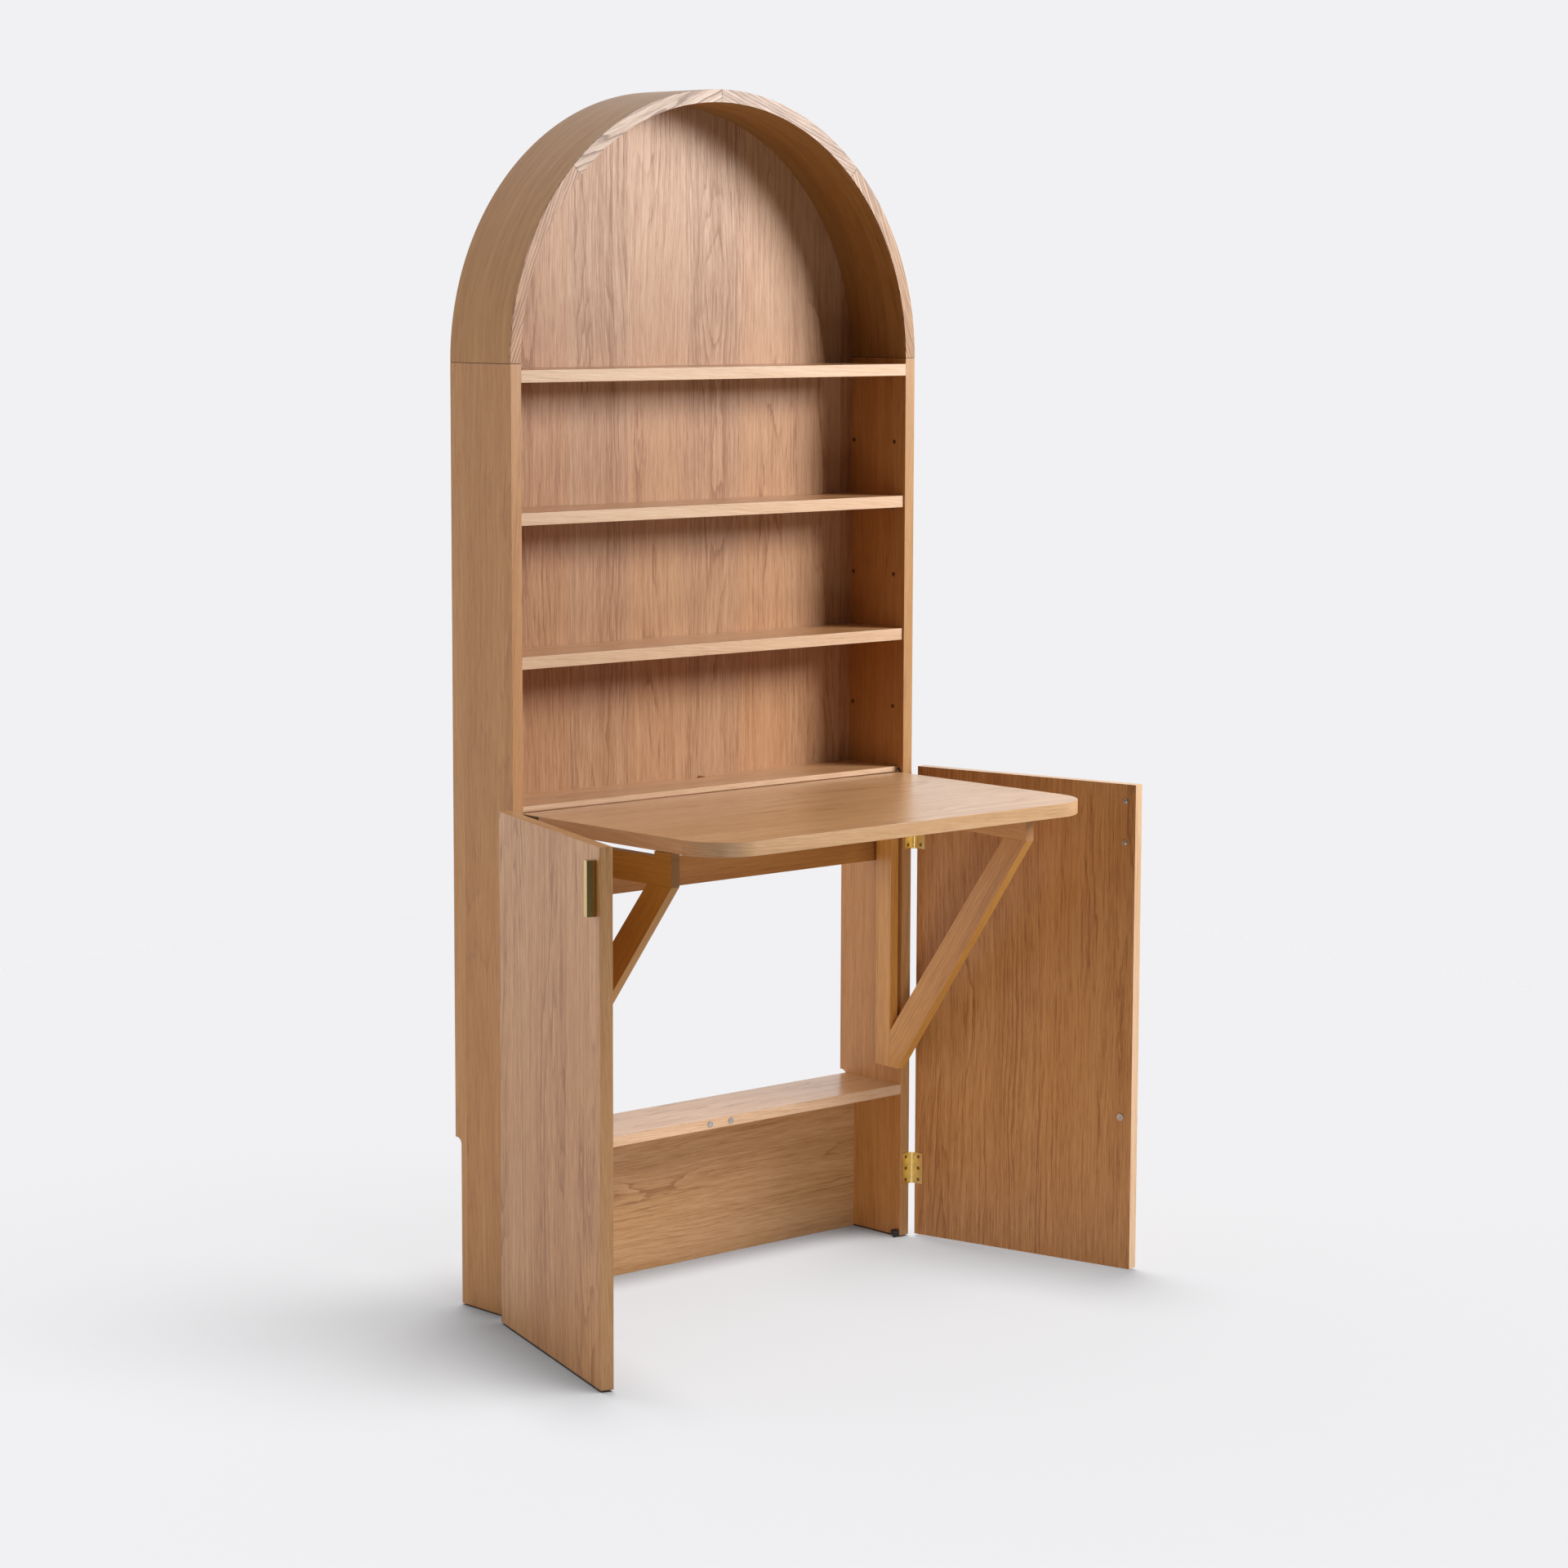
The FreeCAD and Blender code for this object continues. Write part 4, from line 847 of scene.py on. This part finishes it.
def ledge():
    """The ledge: a rebated board with a round-ended cable notch."""
    low, high = home_box("ledge")
    lip, rebate = 8 * MM, 24 * MM
    notch_middle, notch_half, notch_deep = 32 * MM, 31 * MM, 22 * MM
    radius = notch_deep / 2
    profile = [(low[Y], high[Z] - lip), (low[Y] + rebate, high[Z] - lip), (low[Y] + rebate, low[Z]),
               (high[Y], low[Z]), (high[Y], high[Z]), (low[Y], high[Z])]
    bm = prism(profile, X, low[X], high[X])
    soften(bm, SOFT_EDGE)
    over = 5 * MM
    level = high[Y] - radius
    notch = [(notch_middle - notch_half, high[Y] + over)]
    notch += ring_points((notch_middle - notch_half + radius, level), radius, 180, 270,
                         CABLE_NOTCH_FACETS)
    notch += ring_points((notch_middle + notch_half - radius, level), radius, 270, 360,
                         CABLE_NOTCH_FACETS)
    notch += [(notch_middle + notch_half, high[Y] + over)]
    bm = carve(bm, [prism(notch, Z, low[Z] - over, high[Z] + over)])
    shift = next_shift()

    def grain(face):
        if abs(face.normal[Z]) > FLAT_FACE:
            return 0, lambda p: Vector((p[X], p[Y], p[Z])) + shift
        return 1, lambda p: Vector((p[X], p[Z], p[Y])) + shift

    piece("ledge_oak", bm, "carcass", (BOARD_VENEER, SHEEN_LIPPING), grain, ("ledge",))


def table_top():
    """The table, with its two front corners rounded."""
    low, high = home_box("table_top_board", "table")
    radius = 75 * MM
    outline = ring_points((low[X] + radius, low[Y] + radius), radius, 180, 270, TABLE_CORNER_FACETS)
    outline += ring_points((high[X] - radius, low[Y] + radius), radius, 270, 360, TABLE_CORNER_FACETS)
    outline += [(high[X], high[Y]), (low[X], high[Y])]
    board("table_top_board", "table", Z, X, outline, BOARD_VENEER, TABLE_EDGE, lipping=TABLE_LIPPING)


def doors():
    board("door_left", "door_left", Y, Z, veneer=DOOR_VENEER)
    # The right door's pale edges are a painted highlight.
    board("door_right", "door_right", Y, Z, veneer=DOOR_VENEER, lipping=DOOR_SHEEN_LIPPING)


def brackets():
    """Each bracket's four sticks; the brace is cut to meet the post and the arm."""
    for side in ("left", "right"):
        body = f"bracket_{side}"
        arm_low = home_box(f"{body}_arm", body)[0]
        brace_low, brace_high = home_box(f"{body}_brace", body)
        brace_wide, foot, join = 53.5 * MM, 18.5 * MM, 59 * MM
        brace = [(arm_low[Y], arm_low[Z]), (brace_high[Y] - foot, brace_low[Z]),
                 (brace_high[Y], brace_low[Z]), (brace_high[Y], brace_low[Z] + join),
                 (arm_low[Y] + brace_wide, arm_low[Z])]
        slope = Vector((0.0, brace_high[Y] - foot - arm_low[Y], brace_low[Z] - arm_low[Z]))
        sticks = (
            ("post", None, (0, 0, 1), (0, 1, 0)),
            ("arm", None, (0, 1, 0), (0, 0, 1)),
            ("tip_block", None, (0, 1, 0), (0, 0, 1)),
            ("brace", brace, slope, (0, slope[Z], -slope[Y])),
        )
        for stick, outline, direction, cross in sticks:
            node = f"{body}_{stick}"
            low, high = home_box(node, body)
            bm = prism(outline or box_outline(low, high, X), X, low[X], high[X])
            soften(bm, SOFT_EDGE)
            piece(node + "_oak", bm, body, STICK_OAKS[side],
                  straight_grain(direction, cross, next_shift()), (node,))


# Hardware. The first two numbers are shares of a screw head's radius, and each screw of a node is
# turned further than the last by some degrees.
CROSS_ARM = 0.62
CROSS_HALF = 0.15
CROSS_OVER = 2 * MM
SCREW_TURN = 37.0
PULL_EDGE = 0.6 * MM
FOOT_EDGE = 0.8 * MM
DISC_RECESS = 1.2 * MM
MAGNET_CORE = 0.72


def cross_recess(radius, depth):
    """A cross-shaped tool that points down from the plane Z = 0."""
    arm, half = radius * CROSS_ARM, radius * CROSS_HALF
    outline = [(half, half), (half, arm), (-half, arm), (-half, half), (-arm, half), (-arm, -half),
               (-half, -half), (-half, -arm), (half, -arm), (half, -half), (arm, -half), (arm, half)]
    return prism(outline, Z, -depth, CROSS_OVER)


def screw_mesh(length, head, shank, head_high, countersunk):
    """A screw with its head's face, or a raised pan head's underside, at Z = 0 and its tip at -length."""
    tip = [(shank, 2 * shank - length), (0.0, -length)]
    if countersunk:
        top, recess_deep, edge = 0.0, head_high * 0.8, 0.15 * MM
        profile = [(0.0, 0.0), (head * 0.94, 0.0), (head, -edge), (shank, -head_high)]
    else:
        top, recess_deep = head_high, head_high * 0.7
        profile = [(0.0, top), (head * 0.55, top), (head * 0.85, top * 0.8), (head, top * 0.35),
                   (head, 0.0), (shank, 0.0)]
    recess = cross_recess(head, recess_deep)
    bmesh.ops.translate(recess, verts=recess.verts, vec=(0, 0, top))
    return carve(lathe(profile + tip), [recess])


def screws(node, body, axis, facing, head, shank, head_high, material, slot, countersunk=True):
    """Replaces a node of screws.

    facing is 1 for heads that look to the rear or outward, and -1 for heads that look forward or inward.
    """
    copies = []
    for number, (low, high) in enumerate(islands(node, body)):
        middle = (low + high) / 2
        sign = -facing if axis == X and middle[X] < 0 else facing
        length = high[axis] - low[axis] - (0.0 if countersunk else head_high)
        face = high[axis] if sign > 0 else low[axis]
        at = Vector(middle)
        at[axis] = face if countersunk else face - sign * head_high
        spin = Matrix.Rotation(math.radians(SCREW_TURN * number), 4, "Z")
        copies.append((screw_mesh(length, head, shank, head_high, countersunk),
                       Matrix.Translation(at) @ aim(axis, sign) @ spin))
    piece(node + "_heads", merged(copies), body, (material,), replaces=(node,))


def hardware():
    """Screws, pulls, strike discs, magnets and feet."""
    pull_screw = dict(head=4 * MM, shank=2 * MM, head_high=2.2 * MM, material=STEEL, slot="steel",
                      countersunk=False)
    door_screw = dict(head=3 * MM, shank=1.5 * MM, head_high=1.5 * MM, material=SCREW_BRASS, slot="brass")
    small_screw = dict(head=2.5 * MM, shank=1.25 * MM, head_high=1.25 * MM, material=STEEL, slot="steel")
    plate_screw = dict(head=2.75 * MM, shank=1.25 * MM, head_high=1.375 * MM, material=STEEL, slot="steel")
    screws("door_hinge_panel_screws", "carcass", Y, -1, **door_screw)
    screws("bracket_hinge_panel_screws", "carcass", X, -1, **small_screw)
    screws("table_plate_screws", "table", X, 1, **plate_screw)
    for side in ("left", "right"):
        screws(f"door_hinge_screws_{side}", f"door_{side}", Y, 1, **door_screw)
        screws(f"bracket_{side}_hinge_screws", f"bracket_{side}", Y, 1, **small_screw)
        screws(f"pull_screws_{side}", f"door_{side}", Y, 1, **pull_screw)
        pull(side)
        strike_disc(side)
    magnets()
    feet()


def pull(side):
    """A square bar of solid brass with eased edges."""
    node, body = f"pull_{side}", f"door_{side}"
    low, high = home_box(node, body)
    bm = prism(box_outline(low, high, Z), Z, low[Z], high[Z])
    soften(bm, PULL_EDGE)
    piece(node + "_bar", bm, body, (PULL_BRASS,), replaces=(node,))


def strike_disc(side):
    """A steel disc held by a countersunk screw in its middle."""
    node, body = f"strike_disc_{side}", f"door_{side}"
    low, high = home_box(node, body)
    radius = (high[Z] - low[Z]) / 2
    middle = (low + high) / 2
    deep = high[Y] - low[Y]
    thick, rim, dish, stem, ease = 1.5 * MM, 0.4 * MM, 0.3 * MM, 2.5 * MM, 0.05 * MM
    profile = [(0.0, -dish), (stem * 0.9, -dish), (stem, -ease), (stem * 1.15, 0.0), (radius - rim, 0.0),
               (radius, -rim), (radius, -thick), (stem, -thick), (stem, -deep), (0.0, -deep)]
    disc = carve(lathe(profile), [cross_recess(stem, DISC_RECESS)])
    at = Vector((middle[X], high[Y], middle[Z]))
    whole = merged([(disc, Matrix.Translation(at) @ aim(Y, 1))])
    piece(node + "_steel", whole, body, (STEEL,), replaces=(node,))


def magnets():
    """Two magnets in steel cups, let into the front edge of the low shelf."""
    copies = []
    ease, gap, gap_deep, rim = 0.2 * MM, 0.3 * MM, 0.6 * MM, 0.3 * MM
    for low, high in islands("catch_magnets", "carcass"):
        radius = (high[Z] - low[Z]) / 2
        core = radius * MAGNET_CORE
        cup = core + gap
        long = high[Y] - low[Y]
        profile = [(0.0, 0.0), (core - ease, 0.0), (core, -ease), (core, -gap_deep), (cup, -gap_deep),
                   (cup, -ease), (cup + ease, 0.0), (radius - rim, 0.0), (radius, -rim), (radius, -long),
                   (0.0, -long)]
        at = Vector(((low[X] + high[X]) / 2, low[Y], (low[Z] + high[Z]) / 2))
        copies.append((lathe(profile), Matrix.Translation(at) @ aim(Y, -1)))
    piece("catch_magnets_steel", merged(copies), "carcass", (STEEL,),
          replaces=("catch_magnets",))


def feet():
    """Two black feet at the front corners, and two thin glides pinned under the side panels."""
    parts = []
    ease = 0.6 * MM
    for low, high in islands("levelling_feet", "carcass"):
        middle = (low + high) / 2
        at = Matrix.Translation((middle[X], middle[Y], 0.0))
        if abs(middle[X]) > home_box("side_panel_right")[0][X]:
            radius, disc_high, pin = (high[X] - low[X]) / 2, 2 * MM, 1.2 * MM
            glide = [(0.0, 0.0), (radius - ease, 0.0), (radius, ease), (radius, disc_high),
                     (pin, disc_high), (pin, high[Z]), (0.0, high[Z])]
            parts.append((lathe(glide), at))
        else:
            radius, pad_high, block_low, pad_top = 4.2 * MM, 2.4 * MM, 3 * MM, 4 * MM
            block = prism(box_outline(low, high, Z), Z, block_low, high[Z])
            soften(block, FOOT_EDGE)
            pad = [(0.0, 0.0), (radius - ease, 0.0), (radius, ease), (radius, pad_high),
                   (radius * 0.6, pad_top), (0.0, pad_top)]
            parts.append((block, Matrix()))
            parts.append((lathe(pad), at))
    piece("levelling_feet_black", merged(parts), "carcass", (BLACK,),
          replaces=("levelling_feet",))


def finish_cad_nodes():
    """The CAD solids that stay get their finish."""
    finishes = {
        BRASS: ["door_hinge_panel_leaves", "door_hinge_pins", "door_hinge_leaves_left",
                "door_hinge_leaves_right"],
        STEEL: ["bracket_hinge_panel_leaves", "bracket_hinge_pins", "bracket_left_hinge_leaves",
                "bracket_right_hinge_leaves", "table_pivot_bushes", "table_pivot_pins", "shelf_pegs"],
        DARK_STEEL: ["table_pivot_plates"],
        BEECH: ["arch_seam_dowels", "board_dowels"],
    }
    for material, nodes in finishes.items():
        for node in nodes:
            slots = frame["nodes"][node].material_slots
            if not slots:
                raise RuntimeError(node + " has no material slot")
            for slot in slots:
                slot.material = material


# Stage, light and camera. The floor's ambient light is what the world alone gives it.
FLOOR_COLOUR = (0.8796, 0.8796, 0.8963)
FLOOR_ALBEDO = 0.20
FLOOR_HALF = 3.0
FLOOR_THICK = 0.05
FLOOR_AMBIENT = 0.60
WALL_BEHIND = 1.25
WALL_IN_FRONT = 0.12
OVERHEAD = 0.12
WALL_FADE = (-0.35, 0.85)
OVERHEAD_FADE = (0.2, 1.0)
KEY_AT = (1.8, -2.0, 2.05)
KEY_LOOKS_AT = (0.0, -0.1, 0.4)
KEY_SIZE = (1.15, 0.85)
KEY_POWER = 90.0
FILL_AT = (-0.9, -2.1, 0.55)
FILL_LOOKS_AT = (0.15, -0.15, 0.20)
FILL_ANGLE = 34.0
FILL_POWER = 47.0
FILL_BLEND = 0.7
FILL_SOFT = 0.25
# Two soft suns for the floor alone: the direction each stands in, how many degrees wide it is, its
# share of the light and the pieces that shade it.
FLOOR_LIGHTS = (
    ("floor_light_right", (0.544, -0.838, 2.1), 48.0, 0.52,
     ("side_panel_left", "side_panel_right", "door_left", "kick_board")),
    ("floor_light_above", (0.24, 0.44, 2.3), 20.0, 0.48,
     ("kick_board", "side_panel_left", "side_panel_right", "door_left", "door_right")),
)


def place_light(name, kind, towards, at=(0.0, 0.0, 0.0)):
    """A light that shines from the side that towards points to."""
    made = add_object(name, bpy.data.lights.new(name, kind))
    made.location = at
    made.rotation_mode = "QUATERNION"
    made.rotation_quaternion = Vector(towards).to_track_quat("Z", "Y")
    return made


def linked(name, objects, state="INCLUDE"):
    """A collection of the objects that a light reaches, leaves out or is stopped by."""
    group = bpy.data.collections.new(name)
    for obj in objects:
        group.objects.link(obj)
    for member in group.collection_objects:
        member.light_linking.link_state = state
    return group


def floor_plate():
    """Paper of the background's hue, dark enough for its own lights to shade it softly."""
    bm = prism(box_outline((-FLOOR_HALF,) * 3, (FLOOR_HALF,) * 3, Z), Z, -FLOOR_THICK, 0.0)
    floor = mesh_object("floor", bm)
    g = Graph("floor_paper")
    paper = [FLOOR_ALBEDO * c / FLOOR_COLOUR[0] for c in FLOOR_COLOUR]
    g.surface((*paper, 1), 1.0)
    g.shader.inputs["Specular IOR Level"].default_value = 0.0
    floor.data.materials.append(g.made)
    return floor


def studio_world():
    """The camera sees plain paper; the light comes from a bright wall behind and a dim room in front."""
    g = Graph("studio", bpy.data.worlds)
    place = g.node("ShaderNodeTexCoord").outputs["Generated"]
    direction = g.node("ShaderNodeSeparateXYZ", (place,)).outputs
    wall = g.remap(direction["Y"], *WALL_FADE, WALL_IN_FRONT, WALL_BEHIND, smooth=True)
    overhead = g.remap(direction["Z"], *OVERHEAD_FADE, 0.0, OVERHEAD, smooth=True)
    soft = g.node("ShaderNodeBackground", ((1, 1, 1, 1), g.math("ADD", wall, overhead)))
    seen = g.tree.nodes["Background"]
    g.feed(seen.inputs["Color"], (*FLOOR_COLOUR, 1))
    from_camera = g.node("ShaderNodeLightPath").outputs["Is Camera Ray"]
    choose = g.node("ShaderNodeMixShader", (from_camera, soft.outputs[0], seen.outputs[0]))
    g.feed(g.tree.nodes["World Output"].inputs["Surface"], choose.outputs[0])
    bpy.context.scene.world = g.made


def stage():
    """The floor, the world and the lights."""
    floor = floor_plate()
    studio_world()
    key = place_light("key_light", "AREA", Vector(KEY_AT) - Vector(KEY_LOOKS_AT), KEY_AT)
    key.data.shape = "RECTANGLE"
    key.data.size, key.data.size_y = KEY_SIZE
    key.data.energy = KEY_POWER
    fill = place_light("low_fill", "SPOT", Vector(FILL_AT) - Vector(FILL_LOOKS_AT), FILL_AT)
    fill.data.spot_size = math.radians(FILL_ANGLE)
    fill.data.spot_blend = FILL_BLEND
    fill.data.shadow_soft_size = FILL_SOFT
    fill.data.energy = FILL_POWER
    for light in (key, fill):
        light.light_linking.receiver_collection = linked(light.name + "_reaches", [floor], "EXCLUDE")
    # The floor's own lights add what the open floor needs to look like the background.
    needed = (FLOOR_COLOUR[0] / FLOOR_ALBEDO - FLOOR_AMBIENT) * math.pi
    for name, towards, soft, share, shaded_by in FLOOR_LIGHTS:
        wash = place_light(name, "SUN", towards)
        wash.data.energy = needed * share / Vector(towards).normalized()[Z]
        wash.data.angle = math.radians(soft)
        wash.light_linking.receiver_collection = linked(name + "_reaches", [floor])
        stops = [bpy.data.objects[node + "_oak"] for node in shaded_by]
        wash.light_linking.blocker_collection = linked(name + "_stops", stops)
    bpy.context.scene.view_settings.view_transform = "Standard"


def camera():
    """The camera of the photograph."""
    yaw, pitch, roll = (math.radians(a) for a in (CAMERA_YAW, CAMERA_PITCH, CAMERA_ROLL))
    ahead = Vector((math.sin(yaw) * math.cos(pitch), math.cos(yaw) * math.cos(pitch), -math.sin(pitch)))
    level = Vector((math.cos(yaw), -math.sin(yaw), 0.0))
    down = ahead.cross(level)
    right = math.cos(roll) * level + math.sin(roll) * down
    below = -math.sin(roll) * level + math.cos(roll) * down
    data = bpy.data.cameras.new("camera")
    data.lens = CAMERA_LENS
    data.sensor_width = CAMERA_SENSOR
    data.clip_end = CAMERA_SEES
    turn = Matrix((right, -below, -ahead)).transposed().to_4x4()
    made = add_object("camera", data)
    made.matrix_world = Matrix.Translation(CAMERA_AT) @ turn
    bpy.context.scene.camera = made


camera()
side_panels()
arch()
back_panel()
for shelf in ("shelf_top_fixed", "shelf_upper", "shelf_lower", "low_shelf"):
    board(shelf, "carcass", Z, X, veneer=BOARD_VENEER, lipping=SHEEN_LIPPING)
ledge()
board("cross_rail", "carcass", Y, X, veneer=RAIL_SHADED_VENEER)
board("kick_board", "carcass", Y, X, veneer=KICK_SHADED_VENEER)
doors()
table_top()
brackets()
hardware()
finish_cad_nodes()
stage()
